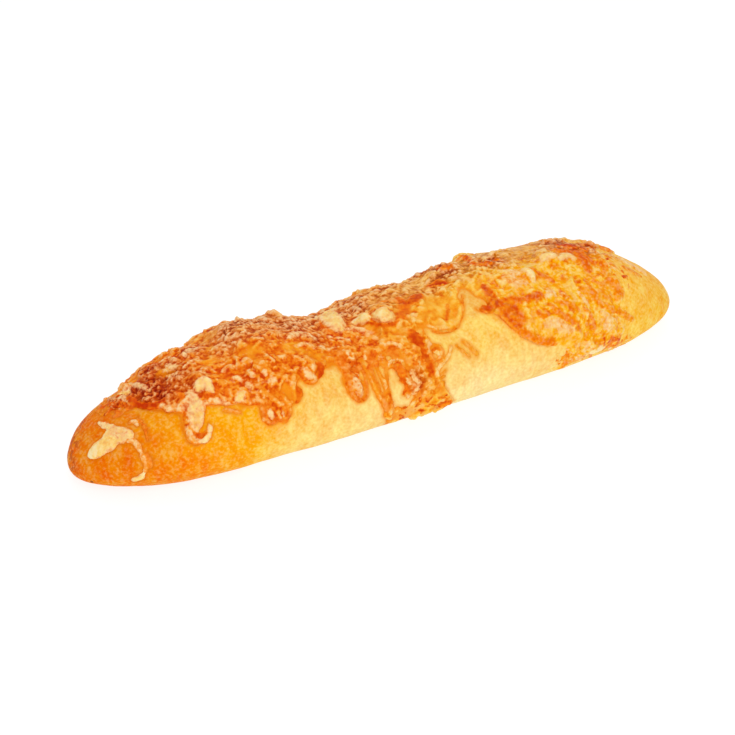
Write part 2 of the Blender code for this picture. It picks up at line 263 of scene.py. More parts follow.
points = lifted(points_of(roll))
points[:, 2] = np.maximum(points[:, 2], 0)
set_points(roll, points)
roll.data.shade_smooth()
crust = surface_of(roll)
print("top of the crust at", round(points[:, 2].max() / MM, 1), "mm")

# %% [markdown]
# ## The sheet of cheese
# Melted cheese has no edges left: sheet, drips and strands run into each other. So the pieces are
# laid separately, thick enough to overlap, and a voxel remesh then melts them into one skin. The
# packed sheet comes first. Its underside is pushed into the bread, so that no gap shows.


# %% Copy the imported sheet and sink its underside
def height_above(surface, points):
    """How far points are above a surface, negative inside it, and the surface's normals there."""
    found = [surface.find_nearest(point) for point in points]
    normals = rows(hit[1] for hit in found)
    offsets = points - rows(hit[0] for hit in found)
    return np.einsum("ij,ij->i", offsets, normals), normals


def tree_of(places):
    tree = kdtree.KDTree(len(places))
    for index, place in enumerate(places):
        tree.insert(place, index)
    tree.balance()
    return tree


def nearest_distance(points, others):
    """How far each point is from the nearest of the others."""
    tree = tree_of(others)
    return np.array([tree.find(point)[2] for point in points])


SUNK_DEPTH = 0.9 * MM
UNDERSIDE = 0.4 * MM  # packed cheese lower than this above the crust is its underside


def sunk_copy(node_name, name):
    """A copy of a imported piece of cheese, lifted with the top, with its underside in the bread."""
    piece = merged_copy(node_name, name)
    points = lifted(points_of(piece))
    above, out = height_above(crust, points)
    sink = np.where(above < UNDERSIDE, -SUNK_DEPTH - above, 0)
    set_points(piece, points + out * sink[:, None])
    print(node_name, "from", *(round(value / MM, 2) for value in (above.min(), above.max())), "mm")
    return piece


cheese = sunk_copy(SHEET_NODE, "melted_cheese")
print("packed sheet", triangles(cheese), "triangles")

# %% [markdown]
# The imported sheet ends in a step. Real melted cheese runs out thin, so the step is pressed down:
# the nearer a point is to the rim, the flatter the cheese gets. Towards the right end the sheet
# sinks into the crust bit by bit, so that it ends in ragged patches.

# %% Press the rims flat
SHEET_CELL = 0.6 * MM
AT_CRUST = 0.3 * MM  # where the sheet is as near to the crust as this, it has its rim
RIM_WIDTH = 2.2 * MM
THINNEST = 0.3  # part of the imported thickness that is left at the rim
RAGS, RAG_LENGTH = 4 * MM, 12 * MM
SHORTER_IN_FRONT = 6 * MM
WHOLE_UNTIL, GONE_FROM = 84 * MM, 101 * MM  # along the loaf
SUNK_RAGS = 0.5 * MM
remesh(cheese, SHEET_CELL)
points = points_of(cheese)
above, out = height_above(crust, points)
from_rim = nearest_distance(points, points[np.abs(above) < AT_CRUST])
kept = THINNEST + (1 - THINNEST) * step_up(from_rim / RIM_WIDTH, 0, 1)
ragged = np.array([noise.noise(Vector(point) / RAGS) for point in points])
in_front = step_up(-points[:, 1], 0, 20 * MM)
reach = points[:, 0] + RAG_LENGTH * ragged + SHORTER_IN_FRONT * in_front
gone = step_up(reach, WHOLE_UNTIL, GONE_FROM)
press = np.clip(above, 0, None) * (1 - kept * (1 - gone)) + SUNK_RAGS * gone
set_points(cheese, points - out * press[:, None])
packed_sheet = surface_of(cheese)
print("sheet", triangles(cheese), "triangles")

# %% [markdown]
# ## Find places by the photograph
# A ray from the camera through a pixel finds the place on the loaf that the photograph shows there.
# What is laid by pixels therefore sits on the loaf itself, and looks right from any side.


# %% Cast rays onto the loaf
def top_at(start, direction):
    """The first surface, of cheese or of crust, that a ray meets."""
    hits = [surface.ray_cast(start, direction) for surface in (packed_sheet, crust)]
    hits = [hit for hit in hits if hit[0] is not None]
    return min(hits, key=lambda hit: hit[3])[0] if hits else None


def seen_at(column, row):
    """The place on the loaf at a pixel of the photograph, or at the nearest one above or below it."""
    right, up, back = (camera.matrix_world.to_3x3() @ Vector(axis) for axis in np.eye(3))
    per_pixel = SENSOR / LENS / PHOTO_SIDE
    middle = PHOTO_SIDE / 2
    for offset in range(PHOTO_SIDE):
        for near in (row + offset, row - offset):
            ray = right * (column - middle) * per_pixel + up * (middle - near) * per_pixel - back
            place = top_at(camera.location, ray.normalized())
            if place:
                return place


print("the photograph's middle is at", [round(v / MM) for v in seen_at(PHOTO_SIDE / 2, PHOTO_SIDE / 2)])
CLEAR_OF_LOAF = 7 * MM  # no cheese is thicker than this


def settled(place):
    """A place moved along the crust's normal until it is on top of the loaf, and that normal."""
    nearest, normal = crust.find_nearest(place)[:2]
    return top_at(nearest + normal * CLEAR_OF_LOAF, -normal) or nearest, normal


# %% [markdown]
# ## Clear, toasted and plain places
# Where the cheese lay thin it melted clear and smooth, and the golden bread shines through. Where
# it lay thick and high it blistered into toasted crumbs. Spots on the front follow the photograph,
# and a slow noise spreads the same mixture over the back.

# %% Mark the clear and the toasted spots
CLEAR_SPOTS = (
    # pixel, radius in mm, strength
    ((250, 350), 4.5, 1), ((296, 346), 4, 1), ((310, 351), 3.5, 1), ((322, 357), 3, 1),
    ((440, 308), 6.5, 1.1), ((472, 290), 5, 1), ((406, 310), 4, 1), ((430, 300), 5, 1),
    ((548, 326), 6.5, 1), ((535, 318), 4, 1), ((572, 344), 7, 1), ((604, 328), 5, 1),
    ((560, 302), 5, 0.8), ((608, 288), 6, 1.1), ((520, 290), 4, 0.7), ((208, 362), 2.5, 0.8),
    ((286, 390), 3, 0.8), ((630, 270), 6, 1), ((508, 248), 6, 1.1), ((525, 247), 5, 1),
    ((545, 278), 5, 0.8), ((142, 403), 2, 0.6), ((383, 372), 4, 0.9), ((376, 388), 3, 0.9),
    ((445, 390), 3.5, 0.9), ((330, 352), 3, 0.7), ((300, 392), 3, 1), ((590, 275), 3.5, 0.7),
    ((438, 303), 5, 1.3), ((430, 315), 4, 1.2), ((402, 412), 4, 1.1), ((415, 408), 4, 1.1),
    ((428, 404), 3.5, 1), ((372, 329), 4, 0.8), ((393, 331), 4, 0.8),
)
TOAST_SPOTS = (
    ((150, 388), 8, 1.5), ((150, 374), 7, 1.4), ((170, 374), 8, 1.25), ((141, 400), 5, 1.6),
    ((163, 390), 7, 1.3), ((202, 348), 9, 0.75), ((232, 334), 8, 0.65), ((112, 406), 7, 1.1),
    ((188, 384), 6, 0.9),
    ((285, 326), 8, 0.7), ((318, 338), 5, 0.65), ((345, 303), 6, 0.6), ((360, 303), 5, 0.5),
    ((258, 398), 5, 0.4), ((352, 366), 4, 0.5), ((418, 382), 6, 0.55), ((488, 308), 3, 0.7),
    ((505, 318), 3, 0.5), ((497, 260), 5, 0.9), ((470, 262), 6, 0.7), ((412, 282), 5, 0.5),
    ((445, 270), 5, 0.6), ((590, 247), 6, 1.1), ((552, 241), 6, 1.1), ((612, 256), 5, 0.8),
    ((572, 243), 6, 1.2), ((602, 252), 5, 1.0), ((560, 247), 8, 1.0), ((580, 247), 8, 1.0),
    ((425, 348), 3, 0.5), ((260, 318), 6, 0.8), ((440, 268), 7, 1.25), ((392, 286), 5, 0.5),
    # these four spots darken the top edge: partly toast and partly painted shade where the top turns
    # away
    ((222, 330), 7, 0.7), ((238, 325), 6, 0.9), ((292, 322), 7, 0.9), ((312, 318), 5, 0.7),
)
print(len(CLEAR_SPOTS), "clear spots and", len(TOAST_SPOTS), "toasted spots")


def nearness(points, spots):
    """How near points are to the nearest spot, from its strength at its middle to 0 far off."""
    near = np.zeros(len(points))
    for pixel, radius, strength in spots:
        squared = ((points - np.array(seen_at(*pixel))) ** 2).sum(1)
        near = np.maximum(near, strength * np.exp(-squared / (radius * MM) ** 2))
    return near


def noise_at(points, size, seed):
    shift = Vector((seed, 0, 0))
    return np.array([noise.noise(Vector(point) / size + shift) for point in points])


PATCH_SIZE = 8 * MM  # of the patches that the noise makes


def clear_and_toast(points):
    """How clear and how toasted the cheese is: by the spots in front, and by noise at the back."""
    slow = noise_at(points, PATCH_SIZE, 3)
    unseen = step_up(points[:, 1], -2 * MM, 8 * MM)
    clear = nearness(points, CLEAR_SPOTS) + (0.3 + 0.5 * unseen) * step_up(slow, 0.12, 0.45)
    toast = nearness(points, TOAST_SPOTS) + (0.2 + 0.5 * unseen) * step_up(-slow, 0.05, 0.4)
    return np.clip(clear, 0, 1), np.clip(toast, 0, 1.4)


EAST_FROM, EAST_FULLY = 35 * MM, 55 * MM  # along the loaf


def eastern(points, fully=EAST_FULLY):
    """From 0 at the left to 1 at the right end, where the photograph's cheese lies smoother."""
    return step_up(points[:, 0], EAST_FROM, fully)


# %% [markdown]
# ## Lay the shreds that the photograph shows
# Some shreds and drips can be told apart. Each is drawn as a flattened strand along a few points of
# its middle. A curve object with a bevel would do for one, but it can't lie down on the bread, so
# the rings of points are worked out here, each on the surface under it.

# %% Draw a strand from arrays
STRAND_STEP = 0.8 * MM
STRAND_SIDES = 8
SLIM = 2.5 * MM  # strands up to this width are fully uneven, and wider ones less so
UNEVEN_WIDTH, WIDTH_WAVES = 0.6, 1.5 * MM  # share of the width, and how long its waves are
UNEVEN_TOP, TOP_WAVES = 0.45, 1.3 * MM  # share of the height, and how long its waves are


def evenly_spaced(places):
    """A smooth path through places, with a point at about every strand step."""
    padded = [2 * places[0] - places[1], *places, 2 * places[-1] - places[-2]]
    path = []
    for before, start, end, after in zip(padded, padded[1:], padded[2:], padded[3:]):
        steps = max(2, round((end - start).length / STRAND_STEP))
        for step in range(steps):
            t = step / steps
            path.append(
                0.5 * (2 * start + (end - before) * t)
                + 0.5 * (2 * before - 5 * start + 4 * end - after) * t**2
                + 0.5 * (3 * start - before - 3 * end + after) * t**3
            )
    return path + [places[-1]]


class Strands:
    """Collects strands as points and faces, to be made one mesh."""

    def __init__(self):
        self.points, self.faces, self.middles = [], [], []

    def add(self, path, widths, height, tones):
        """Lays a flattened strand with rounded ends along a path on the loaf."""
        rings = [settled(place) for place in path]
        first = len(self.points)
        last = len(rings) - 1
        for index, (place, normal) in enumerate(rings):
            ahead = rings[min(index + 1, last)][0] - rings[max(index - 1, 0)][0]
            aside = ahead.cross(normal).normalized()
            width, tone = (
                float(np.interp(index / last, np.linspace(0, 1, len(values)), values))
                for values in (widths, tones)
            )
            unevenness = min(1, SLIM / width)
            width *= 1 + UNEVEN_WIDTH * unevenness * noise.noise(place / WIDTH_WAVES)
            from_end = (min(index, last - index) + 0.3) * STRAND_STEP
            rounding = min(1, (from_end / (0.5 * width)) ** 0.5)
            self.middles.append((place, max(0.5 * width * rounding, 0.6 * height), tone))
            for side in range(STRAND_SIDES):
                angle = math.tau * side / STRAND_SIDES
                across = aside * math.cos(angle) * width / 2 * rounding
                swelling = 1 + UNEVEN_TOP * unevenness * noise.noise((place + across) / TOP_WAVES)
                rise = normal * math.sin(angle) * height * rounding * swelling
                self.points.append(place + across + rise)
        for near in range(first, first + last * STRAND_SIDES, STRAND_SIDES):
            for side in range(STRAND_SIDES):
                this, following = near + side, near + (side + 1) % STRAND_SIDES
                far = this + STRAND_SIDES, following + STRAND_SIDES
                self.faces.append((this, *far, following))
        end = first + last * STRAND_SIDES
        self.faces.append([first + side for side in range(STRAND_SIDES)])
        self.faces.append([end + side for side in reversed(range(STRAND_SIDES))])

    def made(self, name):
        mesh = bpy.data.meshes.new(name)
        mesh.from_pydata(self.points, [], self.faces)
        piece = bpy.data.objects.new(name, mesh)
        bpy.context.collection.objects.link(piece)
        return piece


# %% Lay strands by pixels
strands = Strands()


def lay(region, table):
    """Lays strands given by pixels along the middle, widths and height in mm, and tone or tones."""
    for pixels, widths, height, tone in table:
        places = [seen_at(*pixel) for pixel in pixels]
        strands.add(
            evenly_spaced(places), [width * MM for width in widths], height * MM, np.atleast_1d(tone)
        )
    print(region, "laid with", len(table), "strands")


# %% [markdown]
# The tables below give the pixels along the middle of each strand, its widths and its height in
# millimetres, and its tone: 1 is pale, hardly melted cheese and -1 is burnt. First comes the left
# end, where large shreds stayed pale on the bare bread.

# %% Left end
LEFT_END = (
    ([(88, 457), (95, 452), (103, 446), (111, 442), (119, 438)], (5.4, 6.6, 7.2, 7.4, 6.4), 1.2,
     (1.5, 1.35, 0.9, 0.95, 0.75)),
    ([(103, 437), (110, 433), (118, 431), (125, 429)], (3.0, 4.6, 4.6, 3.6), 1.1,
     (0.75, 0.8, 0.6, 0.45)),
    ([(112, 437), (119, 436), (127, 435), (134, 436)], (7.0, 8.0, 7.4, 4.6), 1.0, 0.65),
    ([(98, 422), (104, 425), (111, 428), (119, 431)], (1.8, 2.6, 2.8, 3.0), 0.9, 0.75),
    ([(126, 441), (133, 441), (138, 446), (141, 453)], (2.0, 2.4, 2.4, 2.2), 0.8, 0.34),
    ([(141, 453), (145, 461), (146, 468), (144, 473)], (2.2, 2.3, 2.3, 2.2), 0.8, 0.22),
    ([(144, 473), (140, 478), (131, 480)], (2.2, 2.5, 2.5), 0.9, 0.85),
    ([(146, 452), (150, 460), (151, 469)], (1.4, 1.8, 1.4), 0.3, -0.45),
    ([(137, 416), (143, 424), (146, 433), (148, 443)], (1.6, 2.2, 2.0, 1.4), 0.25, -0.5),
    ([(128, 424), (134, 421), (138, 427)], (1.6, 2.2, 1.8), 0.6, 0.4),
    ([(126, 393), (127, 389), (129, 385)], (3.0, 3.4, 3.0), 2.6, 0.85),
    ([(121, 394), (122, 390), (124, 385)], (2.6, 3.2, 2.4), 2.2, 0.85),
    ([(117, 400), (122, 397), (127, 401)], (2.6, 3.2, 2.4), 1.0, 0.45),
    ([(100, 404), (106, 400), (113, 398)], (2.0, 2.6, 2.4), 0.7, 0.25),
    ([(104, 412), (110, 408), (118, 409)], (1.8, 2.2, 1.8), 0.6, 0.2),
    ([(112, 418), (118, 415), (124, 411)], (1.6, 2.2, 1.8), 0.5, -0.5),
    ([(98, 410), (104, 406), (112, 404)], (1.6, 2.0, 1.8), 0.5, -0.6),
    ([(120, 405), (126, 408), (134, 408)], (1.6, 2.0, 1.6), 0.5, -0.6),
    ([(128, 386), (135, 384), (142, 386), (149, 390)], (1.6, 2.2, 2.0, 1.4), 0.9, 0.5),
    ([(127, 398), (135, 403), (145, 406), (155, 405), (165, 399)], (2.2, 2.8, 3.0, 2.8, 2.0), 0.5,
     -1.25),
)
lay("left end", LEFT_END)

# %% [markdown]
# Next to it hangs a hook: a shred that slid down, and whose end curls up again.

# %% Hook
HOOK = (
    ([(189, 391), (191, 399), (194, 407)], (4.2, 6.2, 7.2), 0.9, 0.55),
    ([(197, 399), (196, 408), (196, 419), (197, 430)], (6.4, 7.4, 6.6, 4.6), 1.1, 0.72),
    ([(198, 390), (200, 384), (205, 381), (209, 386), (212, 392)], (3.0, 4.0, 4.4, 3.4, 2.2), 1.2, 0.8),
    ([(199, 381), (204, 378)], (2.4, 2.6), 1.4, 1.0),
    ([(188, 426), (190, 434), (195, 440)], (1.6, 1.8, 2.0), 0.7, 0.4),
    ([(195, 440), (204, 441), (209, 435), (211, 425)], (2.0, 1.9, 1.7), 0.9, 0.75),
    ([(196, 434), (201, 436), (206, 433)], (2.4, 3.0, 2.4), 0.3, -1.0),
    ([(204, 395), (208, 397), (213, 395)], (2.6, 3.2, 2.4), 0.5, -1.0),
    ([(160, 404), (168, 408), (176, 408), (185, 408)], (2.0, 2.8, 2.6, 2.6), 0.8, 0.35),
    ([(200, 408), (204, 403), (212, 400), (222, 402), (232, 404)], (3.0, 2.6, 2.6, 2.2, 1.8), 0.8, 0.4),
    ([(222, 410), (232, 411), (242, 413)], (1.6, 2.0, 1.6), 0.6, 0.2),
)
lay("hook", HOOK)

# %% [markdown]
# The left half of the sheet has many small pale bits, a few thick lumps and some dark creases.

# %% Left half of the sheet
LEFT_CHEESE = (
    ([(237, 399), (241, 396), (244, 393)], (3.0, 4.0, 3.0), 1.1, 0.9),
    ([(246, 383), (250, 386), (250, 391)], (2.0, 2.6, 2.0), 0.8, 0.45),
    ([(254, 392), (258, 397)], (1.8, 2.0), 0.8, 0.3),
    ([(268, 382), (272, 379), (276, 381)], (1.4, 1.8, 1.4), 0.8, 0.6),
    ([(249, 370), (253, 376)], (1.6, 2.2), 0.9, 0.55),
    ([(263, 369), (266, 374)], (1.8, 2.0), 0.8, 0.45),
    ([(232, 380), (236, 377), (241, 380)], (2.0, 2.4, 1.8), 0.9, 0.5),
    ([(222, 371), (228, 366), (236, 367)], (1.3, 1.5, 1.2), 0.8, 0.4),
    ([(240, 362), (246, 358), (252, 361)], (1.3, 1.5, 1.2), 0.7, 0.35),
    ([(160, 362), (168, 358), (176, 360)], (1.6, 2.0, 1.4), 0.9, 0.4),
    ([(168, 380), (174, 374), (182, 372)], (1.2, 1.6, 1.2), 0.8, 0.4),
    ([(184, 366), (192, 360), (201, 359)], (1.2, 1.6, 1.2), 0.8, 0.4),
    ([(163, 370), (171, 366), (179, 366)], (2.6, 3.8, 2.6), 0.8, 0.5),
    ([(184, 355), (191, 350), (199, 347)], (2.6, 3.8, 2.6), 0.8, 0.5),
    ([(200, 372), (207, 368), (214, 371)], (1.2, 1.6, 1.2), 0.8, 0.4),
    ([(210, 350), (219, 345), (229, 346)], (1.2, 1.4, 1.2), 0.8, 0.35),
    ([(259, 321), (266, 318), (273, 317), (280, 318), (286, 321)], (5.6, 8.0, 8.0, 8.0, 5.6), 1.7, 0.12),
    ([(270, 316), (276, 317), (282, 320)], (3.4, 4.4, 3.0), 1.5, -0.9),
    ([(236, 321), (243, 319)], (3.0, 2.6), 1.2, 0.2),
    ([(288, 338), (297, 334), (307, 334), (317, 339)], (2.4, 3.8, 3.6, 2.0), 0.9, 0.45),
    ([(296, 345), (305, 343), (314, 347)], (1.6, 2.4, 1.6), 0.7, 0.35),
    ([(255, 332), (266, 329), (278, 331)], (1.2, 1.6, 1.2), 0.7, 0.3),
    # the next four strands are dark creases: partly browned cheese, partly painted shade
    ([(214, 384), (218, 391), (216, 398)], (1.2, 1.6, 1.2), 0.4, -0.8),
    ([(228, 388), (227, 396), (232, 403)], (1.2, 1.4, 1.2), 0.3, -0.8),
    ([(247, 396), (252, 402), (260, 404)], (1.2, 1.6, 1.2), 0.3, -0.8),
    ([(176, 392), (183, 396), (180, 402)], (1.4, 1.8, 1.2), 0.4, -0.8),
)
lay("left half", LEFT_CHEESE)

# %% [markdown]
# In the middle of the front the cheese ran down in drips and loops. Most of them lie thin and are
# darker than the rest.

# %% Drips
DRIPS = (
    ([(264, 406), (265, 416), (271, 423), (278, 420)], (1.3, 1.5, 1.5, 1.3), 0.7, -0.8),
    ([(279, 419), (285, 422), (290, 416), (287, 409)], (1.3, 1.4, 1.4, 1.2), 0.7, -0.8),
    ([(270, 411), (272, 418)], (2.6, 2.8), 0.6, 0.55),
    ([(283, 412), (284, 416)], (1.8, 1.8), 0.5, 0.4),
    ([(297, 386), (299, 395), (297, 404)], (2.6, 3.8, 2.6), 0.3, -0.7),
    ([(302, 372), (305, 380), (312, 382), (319, 378)], (1.2, 1.4, 1.4, 1.2), 0.5, -0.35),
    ([(304, 368), (309, 375), (315, 377)], (2.2, 3.0, 1.8), 0.7, 0.5),
    ([(318, 362), (321, 370), (319, 378)], (2.4, 3.2, 2.0), 0.5, -0.95),
    ([(344, 366), (349, 380), (353, 393), (360, 401), (367, 396), (366, 382), (363, 370)],
     (1.6, 1.5, 1.5, 1.7, 1.5, 1.4, 1.2), 0.6, -0.5),
    ([(354, 376), (358, 387), (361, 395)], (3.0, 4.4, 4.0), 0.8, 0.4),
    ([(370, 362), (374, 376), (380, 389), (385, 401), (388, 413)], (2.0, 1.7, 1.5, 1.6, 2.0), 0.35,
     -0.45),
    ([(385, 358), (386, 372), (388, 386), (391, 400), (393, 413)], (2.0, 1.7, 1.5, 1.7, 2.2), 0.35,
     -0.4),
    ([(388, 366), (391, 361), (397, 359), (402, 362)], (1.0, 1.2, 1.2, 1.0), 0.7, 0.6),
    ([(340, 350), (345, 361), (350, 372)], (5.0, 5.6, 4.2), 0.7, (-0.3, -0.6, -0.4)),
    ([(363, 345), (369, 355), (373, 367)], (5.0, 5.6, 3.2), 0.5, (0.2, -0.5, -0.4)),
    ([(376, 346), (380, 356), (383, 368)], (5.0, 5.0, 3.2), 0.5, (-0.3, 0.4, -0.3)),
    ([(389, 345), (393, 352), (398, 359)], (5.0, 5.0, 3.0), 0.5, -0.5),
    ([(396, 362), (401, 371), (406, 382), (411, 394)], (3.4, 4.4, 3.8, 2.8), 0.5, -0.75),
    ([(412, 371), (415, 379), (417, 390)], (2.0, 3.4, 2.6), 0.8, 0.5),
    ([(404, 392), (409, 398)], (1.4, 1.6), 0.6, 0.35),
    ([(411, 331), (418, 341), (424, 354), (430, 366), (433, 376)], (5.6, 6.0, 5.4, 4.4, 3.2), 0.4,
     -0.98),
    ([(433, 374), (438, 385), (446, 396)], (2.2, 2.6, 2.6), 0.35, -0.35),
    ([(432, 352), (437, 348), (443, 350), (443, 357), (437, 361), (432, 358), (432, 352)],
     (1.2,), 0.4, -0.55),
    ([(435, 353), (440, 352)], (2.2, 2.2), 0.7, 1.1),
    ([(451, 345), (449, 355), (443, 363), (438, 371), (436, 379)], (1.8, 1.9, 2.0, 1.6), 0.4, 0.45),
    ([(446, 368), (443, 378), (446, 390)], (1.6, 2.0, 1.4), 0.2, -0.3),
    ([(462, 340), (470, 347), (479, 356)], (1.7, 2.0, 1.9), 0.35, -0.34),
    ([(455, 344), (463, 351), (471, 357)], (1.2, 1.5, 1.3), 0.3, -0.26),
    ([(394, 414), (406, 410), (418, 407), (430, 403), (445, 400)], (3.0, 3.6, 3.6, 3.0, 2.4), 0.3, 0.0),
    ([(430, 404), (441, 403), (453, 402)], (2.0, 2.6, 1.8), 0.5, -0.95),
)
lay("drips", DRIPS)

# %% [markdown]
# Above the drips lies a smooth dome of clear cheese, with thick lumps on its left.

# %% Dome
DOME = (
    ([(431, 331), (442, 333), (452, 331), (459, 324), (463, 310), (462, 294)], (1.4, 1.2), 0.35, -0.6),
    ([(447, 303), (448, 311), (447, 319)], (1.0, 1.1, 1.0), 0.3, -0.95),
    ([(453, 306), (454, 316), (453, 325)], (2.4, 2.8, 2.2), 0.5, -0.2),
    ([(426, 291), (432, 289), (438, 291)], (1.2, 1.6, 1.2), 0.6, 0.7),
    ([(428, 325), (438, 328), (448, 327)], (1.2, 1.4, 1.2), 0.4, 0.35),
    ([(410, 302), (415, 298), (420, 293)], (4.6, 6.0, 4.6), 0.5, -1.15),
    ([(428, 286), (437, 283), (446, 284)], (3.0, 4.6, 3.0), 0.4, -1.1),
    ([(436, 272), (444, 267), (452, 265)], (2.6, 3.6, 2.6), 0.6, -1.0),
    ([(397, 297), (403, 303), (404, 311), (399, 319)], (3.4, 5.0, 5.0, 3.4), 0.3, -0.75),
    ([(378, 301), (386, 300), (394, 300)], (1.2, 1.4, 1.2), 0.5, -0.5),
    ([(373, 314), (380, 313), (387, 314), (393, 316)], (9.0, 11.0, 11.0, 8.0), 2.0, 0.8),
    # a thin dark strand under the big lump: painted shade
    ([(369, 322), (378, 325), (389, 325), (399, 321)], (1.2, 1.4, 1.2), 0.3, -0.9),
    ([(353, 322), (361, 319), (369, 317)], (3.6, 5.0, 3.8), 1.4, 1.15),
    ([(325, 314), (331, 319), (336, 324), (341, 330)], (7.4, 9.4, 9.0, 6.0), 2.0, 0.78),
    # a thin dark strand along the left lump's lower edge: painted shade
    ([(319, 313), (321, 322), (328, 331), (337, 335)], (1.2, 1.4, 1.4, 1.0), 0.3, -0.9),
    ([(421, 279), (429, 275), (438, 273)], (4.5, 6.0, 4.8), 1.7, 0.4),
    ([(345, 312), (352, 308), (359, 309)], (1.6, 2.0, 1.6), 0.8, 0.4),
    ([(316, 318), (326, 314), (336, 308)], (2.4, 3.4, 2.4), 1.0, 0.75),
    ([(404, 288), (413, 285), (422, 285)], (2.6, 3.8, 2.6), 0.6, 0.6),
    ([(411, 318), (414, 313)], (2.4, 2.4), 0.6, 0.5),
    ([(345, 330), (357, 328), (369, 333), (378, 339)], (1.6, 2.6, 2.4, 1.6), 0.7, 0.45),
    ([(327, 336), (339, 338), (350, 341)], (1.2, 1.6, 1.2), 0.7, 0.6),
    ([(319, 346), (327, 349), (335, 347)], (1.4, 1.6, 1.2), 0.8, 0.5),
    ([(365, 353), (367, 360)], (2.0, 2.4), 0.8, 0.8),
    ([(343, 350), (348, 354)], (1.8, 1.8), 0.8, 0.6),
    ([(385, 345), (393, 343), (401, 346)], (1.2, 1.6, 1.2), 0.7, 0.5),
    ([(405, 350), (412, 354), (417, 361)], (1.2, 1.6, 1.2), 0.6, 0.35),
)
lay("dome", DOME)

# %% [markdown]
# On the right half the cheese is golden, with burnt creases round its lumps.

